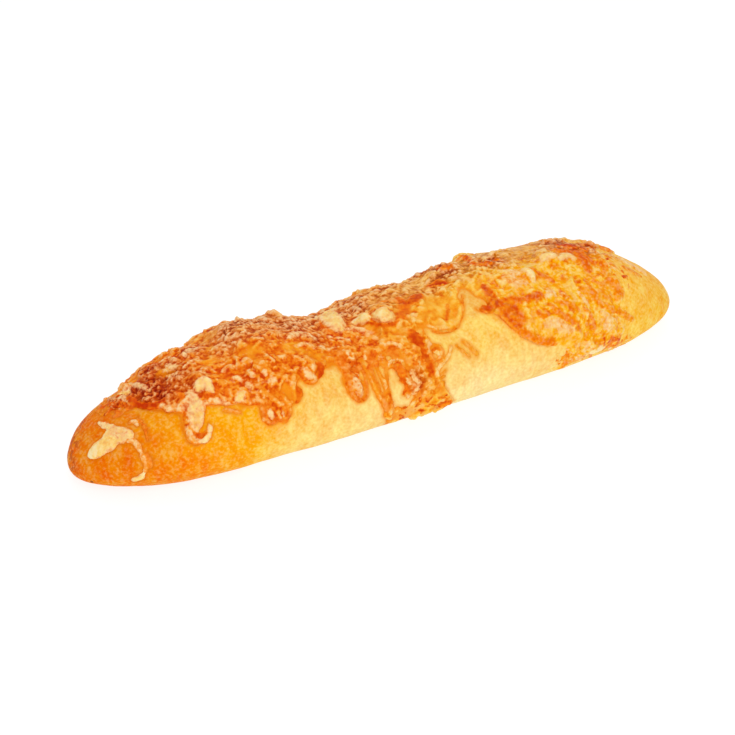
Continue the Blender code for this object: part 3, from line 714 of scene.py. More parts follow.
# %% Right half of the sheet
RIGHT_CHEESE = (
    ([(483, 284), (488, 291), (493, 299), (498, 307)], (3.0, 4.2, 4.4, 3.6), 0.4, -1.0),
    ([(478, 271), (486, 275), (494, 277)], (2.2, 3.4, 2.4), 0.6, 0.45),
    ([(481, 309), (486, 309), (491, 307)], (4.4, 5.4, 4.2), 0.8, -1.0),
    ([(498, 306), (505, 314), (512, 321), (521, 329)], (3.0, 4.6, 4.8, 4.0), 0.5, -0.9),
    ([(503, 304), (511, 309), (518, 316), (525, 324)], (5.0, 7.0, 6.6, 4.0), 0.5, (-0.95, -0.9, -0.6)),
    ([(520, 329), (530, 336), (541, 341), (556, 344)], (4.0, 4.0, 3.4, 2.8), 0.35, -0.75),
    ([(526, 326), (529, 329)], (1.8, 2.0), 0.7, 1.0),
    ([(494, 291), (497, 294)], (1.4, 1.6), 0.7, 0.8),
    ([(500, 302), (512, 300), (526, 299), (541, 293)], (3.0, 4.4, 3.4, 3.4), 0.3, -0.85),
    ([(530, 267), (540, 273), (554, 281)], (1.8, 2.8, 1.8), 0.3, -0.75),
    ([(538, 311), (544, 316), (550, 315)], (1.8, 2.8, 1.8), 0.3, -0.8),
    ([(500, 281), (509, 277), (518, 278)], (3.4, 5.0, 3.4), 0.5, 0.4),
    # a pale ridge on the hump: partly paler cheese, partly a painted highlight
    ([(523, 269), (528, 270), (532, 274), (534, 280)], (2.2, 2.8, 2.8, 2.0), 0.9, 0.85),
    ([(504, 270), (513, 273), (521, 272)], (3.0, 4.4, 3.4), 0.6, 0.5),
    ([(508, 282), (517, 284), (526, 282)], (3.0, 4.4, 3.4), 0.5, 0.45),
    ([(549, 304), (558, 311), (567, 318), (578, 323)], (2.4, 3.4, 3.8, 2.8), 0.3, -0.7),
    ([(560, 302), (570, 304), (579, 310)], (2.4, 3.6, 2.4), 0.25, -0.6),
    ([(546, 325), (556, 322), (566, 327), (574, 331)], (4.0, 6.0, 6.0, 4.0), 0.2, 0.4),
    ([(601, 312), (609, 318), (607, 326), (614, 330)], (2.0, 3.4, 3.0, 2.0), 0.4, 0.42),
    ([(578, 291), (583, 298), (589, 305)], (1.4, 1.8, 1.4), 0.5, 0.5),
    ([(584, 307), (590, 314), (594, 322), (595, 333)], (1.4, 1.9, 1.9, 1.6), 0.3, -0.7),
    ([(578, 324), (581, 333)], (1.6, 1.4), 0.3, -0.6),
    ([(587, 320), (588, 332)], (1.2, 1.2), 0.3, -0.5),
    ([(584, 279), (591, 288), (597, 298), (603, 307)], (1.8, 3.0, 3.0, 2.0), 0.25, -0.6),
    ([(600, 284), (608, 281), (616, 284), (619, 291), (617, 299)], (4.6, 6.0, 6.4, 5.6, 3.4), 0.8, -0.6),
    ([(597, 292), (606, 294), (612, 300)], (4.0, 5.0, 3.6), 0.6, -0.4),
    ([(598, 258), (604, 265), (606, 274)], (4.0, 5.4, 4.0), 0.8, -0.6),
    ([(575, 250), (583, 260), (590, 271)], (3.4, 4.6, 3.4), 0.6, -0.9),
    ([(597, 247), (605, 248), (613, 251)], (3.4, 4.2, 2.6), 1.5, -1.0),
    ([(585, 243), (592, 242), (599, 245)], (3.0, 3.8, 2.8), 1.6, -0.3),
    ([(558, 244), (567, 246), (577, 246)], (3.4, 4.6, 3.4), 0.6, -1.15),
    ([(580, 287), (588, 292), (594, 299)], (3.0, 4.0, 3.0), 0.4, -0.5),
    ([(602, 303), (612, 308), (623, 314), (634, 320)], (2.4, 3.4, 3.0, 2.0), 0.6, -0.55),
    ([(610, 318), (617, 322), (624, 326)], (1.8, 2.4, 1.8), 0.4, 0.3),
    ([(624, 277), (627, 279)], (1.4, 1.4), 0.3, -1.0),
    ([(628, 282), (629, 290)], (1.2, 1.2), 0.3, -0.5),
    ([(542, 259), (549, 255), (557, 255)], (2.8, 4.4, 3.6), 1.0, 0.8),
    ([(560, 258), (567, 255), (575, 259)], (2.8, 4.2, 2.8), 0.9, 0.8),
    ([(543, 243), (548, 240), (555, 242)], (2.6, 3.4, 2.6), 1.0, -0.2),
    ([(546, 297), (551, 291), (556, 295)], (2.2, 3.2, 2.6), 0.6, 0.5),
    ([(561, 293), (565, 293)], (1.8, 2.2), 0.6, 0.45),
    ([(581, 250), (587, 257), (594, 264)], (2.0, 3.2, 2.4), 0.3, -0.8),
    ([(590, 352), (597, 349), (604, 347)], (3.0, 3.8, 2.8), 1.0, 1.4),
    ([(605, 347), (611, 345), (622, 341)], (2.8, 3.4, 2.0), 0.8, -0.7),
    ([(482, 258), (494, 262), (506, 264), (518, 266)], (1.0, 1.4, 1.4, 1.0), 0.7, 0.4),
    ([(486, 267), (499, 270), (511, 271)], (1.0, 1.2, 1.0), 0.6, 0.3),
    ([(494, 259), (499, 258)], (2.0, 2.0), 0.4, -1.0),
    ([(473, 257), (477, 263), (478, 270)], (1.0, 1.4, 1.2), 0.9, 0.75),
    ([(457, 259), (463, 257), (470, 260)], (2.4, 3.0, 2.0), 0.5, -1.0),
    ([(470, 263), (481, 264), (492, 262)], (3.0, 4.0, 3.0), 0.4, -0.9),
    ([(550, 249), (561, 251), (572, 251)], (3.4, 4.6, 3.6), 0.5, -0.85),
    ([(585, 247), (595, 251), (604, 255)], (1.4, 1.8, 1.4), 0.7, 0.3),
    ([(604, 264), (612, 268), (620, 272)], (1.8, 2.4, 1.8), 0.5, 0.3),
    ([(610, 256), (618, 261), (626, 268)], (1.6, 2.2, 1.6), 0.4, 0.25),
    ([(616, 276), (620, 284), (618, 292)], (1.6, 2.0, 1.4), 0.4, 0.25),
    ([(616, 257), (626, 263), (637, 269), (647, 276)], (5.0, 6.4, 5.4, 3.0), 1.0,
     (0.55, 0.6, 0.55, 0.45)),
    ([(621, 267), (631, 271), (642, 277)], (3.0, 4.0, 2.6), 0.9, -0.6),
    ([(622, 277), (628, 276)], (1.8, 1.8), 0.4, -1.0),
    ([(608, 342), (614, 340), (621, 337)], (2.4, 2.8, 2.0), 0.5, -1.0),
)
lay("right half", RIGHT_CHEESE)
print("points laid by hand:", len(strands.middles))

# %% [markdown]
# Loose crumbs lie in patches: at both ends, among the drips in the middle, and along the foot of the
# roll, where they gathered as they slid down.

# %% Drop crumbs in patches
CRUMB_PATCHES = (
    # pixel, radius in pixels, how many, lowest and highest tone
    ((106, 407), 9, 40, -1.3, 0.2), ((120, 407), 8, 34, -1.3, 0.3), ((400, 413), 7, 14, -0.05, 0.5),
    ((414, 409), 8, 18, -0.05, 0.6), ((429, 405), 8, 18, -0.05, 0.5), ((445, 402), 5, 14, -1.3, -0.7),
    ((401, 415), 2, 3, -1.4, -1.1), ((421, 411), 2, 3, -1.4, -1.1), ((431, 407), 2, 4, -1.4, -1.1),
    ((391, 418), 4, 5, -0.9, -0.5),
    ((560, 361), 6, 14, -1.0, 0.7), ((572, 357), 7, 24, -0.8, 1.2), ((584, 353), 7, 26, -0.7, 1.2),
    ((596, 350), 7, 26, -0.6, 1.5), ((608, 346), 6, 24, -1.4, 0.6), ((618, 342), 6, 20, -1.3, 0.5),
    ((629, 337), 5, 12, -1.0, 0.5),
    ((606, 256), 10, 34, -1.2, 0.5), ((614, 269), 11, 34, -1.0, 0.5), ((616, 322), 9, 26, -0.6, 0.6),
    ((600, 275), 8, 18, -0.9, 0.5), ((585, 247), 7, 16, -1.2, 0.3),
    ((352, 368), 10, 26, -1.1, 0.5), ((378, 355), 10, 26, -1.0, 0.5), ((418, 358), 12, 34, -1.2, 0.4),
    ((412, 384), 9, 22, -1.0, 0.6), ((402, 411), 4, 7, -1.4, -1.0), ((416, 406), 4, 7, -1.4, -1.0),
    ((430, 402), 4, 7, -1.4, -1.0), ((442, 400), 3, 5, -1.4, -1.0),
)
CRUMB_HALF = (2, 4)  # half the length of a crumb, in pixels
CRUMB_WIDTH, CRUMB_HEIGHT = (1.0, 2.0), (0.4, 0.9)  # in mm
LONGEST_CRUMB = 5 * MM  # a crumb whose ends are further apart lies across an edge, and is left out
draw = random.Random(11)
for middle, radius, count, lowest, highest in CRUMB_PATCHES:
    for _ in range(count):
        column, row = (draw.gauss(value, radius / 2) for value in middle)
        angle, half = draw.uniform(0, math.tau), draw.uniform(*CRUMB_HALF)
        places = [
            seen_at(column + half * step * math.cos(angle), row + half * step * math.sin(angle))
            for step in (-1, 0, 1)
        ]
        widths = [draw.uniform(*CRUMB_WIDTH) * MM]
        height, tone = draw.uniform(*CRUMB_HEIGHT) * MM, draw.uniform(lowest, highest)
        if (places[0] - places[2]).length < LONGEST_CRUMB:
            strands.add(evenly_spaced(places), widths, height, [tone])
told_apart = list(strands.middles)
print("points with the crumbs:", len(told_apart))

# %% [markdown]
# ## Strew the rest
# The remaining shreds and crumbs are too many to tell apart. They are strewn by a seeded draw:
# short curly crumbs where the cheese is toasted, longer shreds elsewhere, and few on clear cheese.

# %% Strew shreds and crumbs
STREWN = 1500
SHEET_FROM = 0.35 * MM  # above the crust; the sheet's underside and rim lie lower, and stay bare
FEWER_EAST = 0.75  # share of the shreds that is left out there
SHRED = ((1.8, 6.0), (1.0, 2.1), 0.2, 0.6, (-0.5, 0.5))  # lengths, widths, curl, turn, tones
CRUMB = ((1.0, 3.5), (0.9, 1.7), 0.5, 2.0, (-0.5, 0.45))
WANDER = 0.25  # how much the turn differs from step to step, in radians
NARROWED, FLATTENED = (0.7, 1.2), (0.35, 0.65)  # shares of the width: along a shred, and its height
SKIRT_SPOTS = (
    ((402, 414), 5, 1), ((420, 408), 5, 1), ((440, 402), 5, 1), ((575, 356), 5, 1),
    ((605, 343), 5, 1), ((590, 348), 4, 1),
)


def way_of_melting(normal):
    """Along the loaf where it is level, and down its side where it is steep."""
    steep = float(step_up(1 - normal.z, 0.25, 0.6))
    along = Vector((draw.choice((-1, 1)), 0, 0)).lerp(Vector((0, 0, -1)), steep)
    return (along - normal * along.dot(normal)).normalized()


def wriggle(place, heading, normal, length, bend):
    """A path on the sheet that starts at a place and keeps turning by about the same angle."""
    path = [place]
    for _ in range(max(2, round(length / STRAND_STEP))):
        heading.rotate(Matrix.Rotation(bend + draw.gauss(0, WANDER), 3, normal))
        place, normal = settled(place + heading * STRAND_STEP)
        heading = (heading - normal * heading.dot(normal)).normalized()
        if (place - crust.find_nearest(place)[0]).length < AT_CRUST:
            break
        path.append(place)
    return path


outer = [
    face for face in cheese.data.polygons if height_above(crust, [face.center])[0][0] > SHEET_FROM
]
middles = rows(face.center for face in outer)
clear, toast = clear_and_toast(middles)
skirt = nearness(middles, SKIRT_SPOTS)
thinned = 1 - FEWER_EAST * eastern(middles) * (1 - np.clip(skirt, 0, 1))
weights = rows((face.area,) for face in outer)[:, 0] * (1.08 - clear) * thinned
weights *= 1 + 1.2 * toast + 3 * skirt
for index in draw.choices(range(len(outer)), weights, k=STREWN):
    corners = [cheese.data.vertices[i].co for i in outer[index].vertices]
    shares = [draw.random() for _ in corners]
    place = sum((corner * share for corner, share in zip(corners, shares)), Vector()) / sum(shares)
    place, normal = settled(place)
    crumbly = toast[index] + skirt[index] > draw.uniform(0.2, 0.9)
    lengths, widths, curl, turn, tones = CRUMB if crumbly else SHRED
    heading = way_of_melting(normal)
    heading.rotate(Matrix.Rotation(draw.gauss(0, turn), 3, normal))
    path = wriggle(place, heading, normal, draw.uniform(*lengths) * MM, draw.gauss(0, curl))
    width = draw.uniform(*widths) * MM
    profile = [width * draw.uniform(*NARROWED) for _ in range(3)]
    if len(path) > 2:
        strands.add(path, profile, width * draw.uniform(*FLATTENED), [draw.uniform(*tones)])
shreds = strands.made("shreds")
print("shreds", triangles(shreds), "triangles")

# %% [markdown]
# ## Melt it
# The imported strands on the back, which the photograph hides, join the sheet and the shreds as they
# are. The remesh makes one skin of them all, and a little smoothing rounds it as heat does. The
# right end is smoothed more, but least where something listed was laid.

# %% Remesh and smooth
CHEESE_CELL = 0.45 * MM
HAND_LAID, FREE = 1 * MM, 2.5 * MM  # so near to a listed strand counts as part of it, or not
SMOOTH_FULLY = 60 * MM  # along the loaf
back_strands = [
    sunk_copy(name, "back_strand") for name in CHEESE_NODES
    if name.startswith("cheese_strand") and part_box(name)[0][1] > 0
]
select_only(cheese, shreds, *back_strands)
bpy.ops.object.join()
remesh(cheese, CHEESE_CELL)
smooth(cheese, 2)
points = points_of(cheese)
beside = step_up(nearest_distance(points, [place for place, _, _ in told_apart]), HAND_LAID, FREE)
weigh_points(cheese, "east", eastern(points, SMOOTH_FULLY) * (0.3 + 0.7 * beside))
smooth(cheese, 4, vertex_group="east")
print("melted cheese", triangles(cheese), "triangles")


# %% [markdown]
# The remesh forgets which strand a point came from, and with it the tone. So each point takes the
# tone of the strand that it lies deepest in, and what was listed goes before what was strewn.


# %% Tone from the strands
NEAR_ONES = 10  # how many of the nearest points of strands are weighed up
HAND_REACH, STREWN_REACH = 0.4 * MM, 0.3 * MM  # how far a strand's tone goes past its side


def tone_from(points, strand_middles, reach_out):
    """The tone of the strand that a point is deepest in, fading to nothing at its sides."""
    tree = tree_of([place for place, _, _ in strand_middles])
    reaches = [reach + reach_out for _, reach, _ in strand_middles]
    found = [
        min((distance / reaches[index], index) for _, index, distance in tree.find_n(point, NEAR_ONES))
        for point in points
    ]
    tones = np.array([strand_middles[index][2] for _, index in found])
    return tones * (1 - step_up(np.array([share for share, _ in found]), 0.4, 1.15))


points = points_of(cheese)
above, out = height_above(crust, points)
clear, toast = clear_and_toast(points)
by_hand = tone_from(points, told_apart, HAND_REACH)
mottling = noise_at(points, 1.5 * MM, 5)  # less of it where the tone is strong
by_hand *= 1 + (0.7 - 0.35 * step_up(np.abs(by_hand), 0.4, 0.75)) * mottling
strewn = tone_from(points, strands.middles[len(told_apart):], STREWN_REACH)
FAINTEST = 0.08  # a listed tone that is fainter leaves the strewn ones to show
tone = np.where(np.abs(by_hand) > FAINTEST, by_hand, 0.55 * strewn * (1 - 0.5 * clear))
print("clear over", round(clear.mean(), 2), "and toasted over", round(toast.mean(), 2))


# %% [markdown]
# Browned cheese is covered with small crags and blisters. A Voronoi pattern has round lumps with
# sharp creases between them, as they have. They are low where the cheese melted clear. The whole
# skin settles a little, which makes up for what the strands have added to it.


# %% Raise the crags
BLISTER, BUBBLE = 3.6 * MM, 1.8 * MM  # sizes of the large and the small lumps
BENT, BEND_SIZE = 0.8 * MM, 2.0 * MM


def crag(point):
    """Lumps with sharp creases between them, of two sizes, from about -1 to 1."""
    bent = point + BENT * noise.noise_vector(point / BEND_SIZE)
    coarse = noise.voronoi(bent / BLISTER)[0]
    fine = noise.voronoi(bent / BUBBLE)[0]
    return 1.0 * (coarse[1] - coarse[0]) + 0.7 * (fine[1] - fine[0]) - 0.55


SETTLING = 0.3 * MM
CRAG_HEIGHT = 0.5 * MM
OFF_FLOOR = 0.05 * MM
crags = np.array([crag(Vector(point)) for point in points])
on_top = step_up(above, 0.05 * MM, 0.6 * MM)
smooth_lump = step_up(by_hand, 0.6, 0.95)
roughness = (1 - 0.7 * clear) * (1 - 0.7 * smooth_lump) * (0.75 + 0.6 * toast)
roughness *= 1 - 0.4 * eastern(points)
roughness *= 1 + 0.5 * step_up(points[:, 1], -6 * MM, 3 * MM)  # more rugged on the crest and behind
rise = CRAG_HEIGHT * crags * roughness - SETTLING * (1 - 0.6 * np.clip(np.abs(by_hand), 0, 1))
rise -= 0.4 * clear * np.clip(above - 0.4 * MM, 0, None)  # clear cheese is thinner
points = points + out * (rise * on_top)[:, None]
points[:, 2] = np.maximum(points[:, 2], OFF_FLOOR)
set_points(cheese, points)
print("crags from", round(rise.min() / MM, 2), "to", round(rise.max() / MM, 2), "mm")

# %% [markdown]
# ## Measure ridges and creases
# The colour follows the relief, how far each point is above the average round it: creases are darker,
# partly browned and partly painted shade, and ridges stay pale. It is measured here, and kept on the
# mesh for the material. A thin rim has no crease to darken, so hollows count less where the cheese
# is thin.

# %% Measure, thin out and keep
FINE_ROUNDS, BROAD_ROUNDS = 10, 70  # of averaging with the neighbours
FINE_RIDGE, BROAD_RIDGE = 0.16 * MM, 0.45 * MM
for name, values in (("tone", tone), ("clear", clear), ("toast", toast)):
    set_attribute(cheese, name, values)
height, _ = height_above(crust, points_of(cheese))
fine = height - evened(cheese, height, FINE_ROUNDS)
broad = height - evened(cheese, height, BROAD_ROUNDS)
relief = np.clip(0.5 * fine / FINE_RIDGE + 0.55 * broad / BROAD_RIDGE, -1, 1)
relief = np.where(relief < 0, relief * step_up(height, 0.1 * MM, 0.9 * MM), relief)
set_attribute(cheese, "relief", relief)
set_attribute(cheese, "thickness", height / MM)
MOST_TRIANGLES = 185_000
apply_modifier(cheese, "DECIMATE", ratio=MOST_TRIANGLES / triangles(cheese))
print("kept", triangles(cheese), "triangles")
cheese.data.shade_smooth()
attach(cheese, "root")
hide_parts(*CHEESE_NODES)

# %% [markdown]
# ## Stain the bread
# Fat ran out of the cheese into the crust, so the bread is deeper orange beside it. The stain is
# measured as the distance from each point of the crust to the cheese.

# %% Measure the stain
STAIN_REACH = 2.0 * MM
melted = surface_of(cheese)
crust_points = points_of(roll)
to_cheese = np.array([melted.find_nearest(point)[3] for point in crust_points])
stain = np.exp(-to_cheese / STAIN_REACH)
set_attribute(roll, "stain", stain)
print("stained over", round(stain.mean(), 2), "of the crust")
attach(roll, "root")
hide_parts(ROLL_NODE)


# %% [markdown]
# ## Finishes
# Both materials mix a few colours by what was measured on the mesh, and add finer noise that reads
# the piece's own coordinates. The colours are given as a screen shows them.


# %% Helpers for materials
def linear(red, green, blue):
    """A colour as a screen shows it, from 0 to 255, turned into the light that Blender mixes."""
    shown = (value / 255 for value in (red, green, blue))
    return [v / 12.92 if v <= 0.04045 else ((v + 0.055) / 1.055) ** 2.4 for v in shown] + [1.0]


class Finish:
    """A material whose nodes are added one by one."""

    def __init__(self, name):
        self.material = bpy.data.materials.new(name)
        self.material.use_nodes = True
        self.nodes = self.material.node_tree.nodes
        self.links = self.material.node_tree.links
        self.shader = self.nodes["Principled BSDF"]
        self.place = self.nodes.new("ShaderNodeTexCoord").outputs["Object"]
        split = self.nodes.new("ShaderNodeSeparateXYZ")
        self.links.new(self.place, split.inputs["Vector"])
        self.along, self.across, self.height = split.outputs

    def join(self, source, socket):
        if isinstance(source, (int, float)):
            socket.default_value = source
        else:
            self.links.new(source, socket)

    def measured(self, name):
        node = self.nodes.new("ShaderNodeAttribute")
        node.attribute_name = name
        return node.outputs["Fac"]

    def noise(self, size, detail=2.0, stretch=(1, 1, 1)):
        mapping = self.nodes.new("ShaderNodeMapping")
        mapping.inputs["Scale"].default_value = stretch
        self.links.new(self.place, mapping.inputs["Vector"])
        node = self.nodes.new("ShaderNodeTexNoise")
        node.inputs["Scale"].default_value = 1 / size
        node.inputs["Detail"].default_value = detail
        self.links.new(mapping.outputs["Vector"], node.inputs["Vector"])
        return node.outputs["Fac"]

    def part(self, source, low, high):
        """0 where the source is at low, 1 where it is at high."""
        node = self.nodes.new("ShaderNodeMapRange")
        node.inputs["From Min"].default_value = low
        node.inputs["From Max"].default_value = high
        self.links.new(source, node.inputs["Value"])
        return node.outputs["Result"]

    def worked_out(self, operation, *terms):
        """What an operation of a Math node gives."""
        node = self.nodes.new("ShaderNodeMath")
        node.operation = operation
        for term, socket in zip(terms, node.inputs):
            self.join(term, socket)
        return node.outputs["Value"]

    def sum(self, first, second, weight=1.0):
        """first + second * weight"""
        return self.worked_out("MULTIPLY_ADD", second, weight, first)

    def product(self, *factors):
        result = factors[0]
        for factor in factors[1:]:
            result = self.worked_out("MULTIPLY", result, factor)
        return result

    def varied(self, colour, source, hue, saturation, value):
        """The colour turned to yellow, deepened and lightened by those shares as the source grows."""
        node = self.nodes.new("ShaderNodeHueSaturation")
        swing = self.part(source, 0.3, 0.7)
        for name, start, share in (
            ("Hue", 0.5 - hue / 2, hue), ("Saturation", 1 - saturation / 2, saturation),
            ("Value", 1 - value / 2, value),
        ):
            self.links.new(self.sum(start, swing, share), node.inputs[name])
        self.links.new(colour, node.inputs["Color"])
        return node.outputs["Color"]

    def distance_to(self, point):
        node = self.nodes.new("ShaderNodeVectorMath")
        node.operation = "DISTANCE"
        self.links.new(self.place, node.inputs[0])
        node.inputs[1].default_value = point
        return node.outputs["Value"]

    def roughen(self, source, distance):
        """A fine bump that stands as high as the distance says."""
        bump = self.nodes.new("ShaderNodeBump")
        bump.inputs["Strength"].default_value = 0.35
        bump.inputs["Distance"].default_value = distance
        self.links.new(source, bump.inputs["Height"])
        self.links.new(bump.outputs["Normal"], self.shader.inputs["Normal"])

    def ramp(self, source, *stops):
        """A colour for each value of the source; stops are (place, colour)."""
        node = self.nodes.new("ShaderNodeValToRGB")
        elements = node.color_ramp.elements
        while len(elements) < len(stops):
            elements.new(0.5)
        for element, (place, colour) in zip(elements, stops):
            element.position = place
            element.color = linear(*colour)
        self.links.new(source, node.inputs["Fac"])
        return node.outputs["Color"]

    def mix(self, amount, first, second, most=1.0):
        """The first colour, with as much of the second in it as amount * most says."""
        node = self.nodes.new("ShaderNodeMix")
        node.data_type = "RGBA"
        self.join(self.product(amount, most) if most < 1 else amount, node.inputs["Factor"])
        for colour, socket in ((first, node.inputs[6]), (second, node.inputs[7])):
            if isinstance(colour, tuple):
                socket.default_value = linear(*colour)
            else:
                self.links.new(colour, socket)
        return node.outputs[2]

    def finished(self, colour, roughness, gloss, light_depths):
        """Gives the shader its colour, its gloss, and how deep red, green and blue light get."""
        self.join(colour, self.shader.inputs["Base Color"])
        for name, value in (
            ("Roughness", roughness), ("Specular IOR Level", gloss), ("Subsurface Weight", 0.08),
            ("Subsurface Radius", light_depths), ("Subsurface Scale", 1.0),
        ):
            self.shader.inputs[name].default_value = value
        return self.material


# %% [markdown]
# The roll is deep orange at its left end, pale yellow low in the middle and golden at its right end
# and on top. Two ramps run along it, one for its side and one for its top, and noise blurs where
# one colour meets the next.


# %% The bread's own colour
def bread_colour(finish):
    """Deep orange at the left end, pale yellow low in the middle, golden at the right end."""
    wander = finish.part(finish.noise(14 * MM), 0.3, 0.7)
    along = finish.sum(finish.part(finish.along, -125 * MM, 125 * MM), wander, 0.04)
    along = finish.sum(along, -0.02)
    low_side = finish.ramp(
        along,
        (0.03, (236, 128, 8)), (0.10, (240, 136, 8)), (0.16, (246, 148, 12)), (0.21, (248, 168, 24)),
        (0.245, (249, 188, 60)), (0.29, (250, 211, 116)), (0.4, (250, 216, 132)), (0.6, (250, 224, 152)),
        (0.7, (250, 215, 132)), (0.8, (249, 201, 86)), (0.92, (250, 194, 68)), (1.0, (250, 188, 68)),
    )
    high_side = finish.ramp(
        along,
        (0.03, (228, 116, 6)), (0.10, (240, 144, 14)), (0.15, (248, 170, 28)), (0.25, (249, 182, 52)),
        (0.32, (249, 197, 96)), (0.5, (249, 205, 106)), (0.66, (250, 201, 92)), (0.88, (252, 193, 76)),
        (1.0, (250, 188, 84)),
    )
    height = finish.sum(finish.height, finish.noise(8 * MM), 8 * MM)
    colour = finish.mix(finish.part(height, 16 * MM, 30 * MM), low_side, high_side)
    blotches = finish.part(finish.noise(4.5 * MM, 4), 0.5, 0.72)
    colour = finish.mix(blotches, colour, (245, 162, 36), 0.35)
    pale = finish.part(finish.noise(3.0 * MM, 4, (1, 0.5, 0.5)), 0.52, 0.74)
    pale = finish.product(pale, finish.part(along, 0.15, 0.3))
    colour = finish.mix(pale, colour, (253, 224, 146), 0.3)
    # The top turns tan right of the middle: partly toasted crust and partly painted shade where the top
    # turns away.
    tan_top_and_shade = finish.product(finish.part(height, 36 * MM, 44 * MM), finish.part(along, 0.45, 0.6))
    colour = finish.mix(tan_top_and_shade, colour, (232, 164, 98), 0.7)
    colour = finish.varied(colour, finish.noise(3.2 * MM, 3, (1, 0.45, 0.45)), 0.026, -0.08, 0.03)
    return finish.varied(colour, finish.noise(1.1 * MM, 3), 0.02, -0.15, 0.05)


# %% [markdown]
# What lies on that colour is mixed in by masks, one at a time, so that each can be changed by itself:
# the stain of fat, scales and flakes at the left tip, a dull line at the base and one burnt speck.

# %% The crust's finish
BURNT_SPECK = seen_at(92, 482)


def crust_finish():
    """The bread's colour, with the stain of fat, a scaly left tip, a dull base and a burnt speck."""
    finish = Finish("bread_crust")
    along = finish.along
    colour = bread_colour(finish)
    stain = finish.sum(finish.measured("stain"), finish.noise(2.2 * MM, 3), 0.6)
    stain = finish.product(finish.part(stain, 0.85, 1.35), finish.part(along, 52 * MM, 32 * MM))
    fat = finish.mix(finish.part(along, -95 * MM, -65 * MM), (224, 116, 12), (243, 146, 22))
    colour = finish.mix(stain, colour, fat)
    far_tip = finish.sum(finish.sum(along, finish.across, -0.75), finish.noise(4 * MM), 4 * MM)
    tip = finish.part(far_tip, -118.5 * MM, -121.5 * MM)
    scales = finish.part(finish.noise(1.9 * MM, 5, (0.5, 1, 1)), 0.5, 0.58)
    colour = finish.mix(finish.product(scales, tip), colour, (190, 84, 26), 0.8)
    flakes = finish.part(finish.noise(1.3 * MM, 3), 0.6, 0.68)
    colour = finish.mix(finish.product(flakes, tip), colour, (240, 182, 120), 0.7)
    base_line = finish.part(finish.height, 0.9 * MM, 0.2 * MM)
    colour = finish.mix(base_line, colour, (206, 138, 62), 0.55)
    speck = finish.part(finish.distance_to(BURNT_SPECK), 0.9 * MM, 0.4 * MM)
    colour = finish.mix(speck, colour, (112, 38, 8), 0.8)
    finish.roughen(finish.noise(0.8 * MM, 3), 0.3 * MM)
    return finish.finished(colour, 0.5, 0.02, (1.5 * MM, 0.7 * MM, 0.3 * MM))
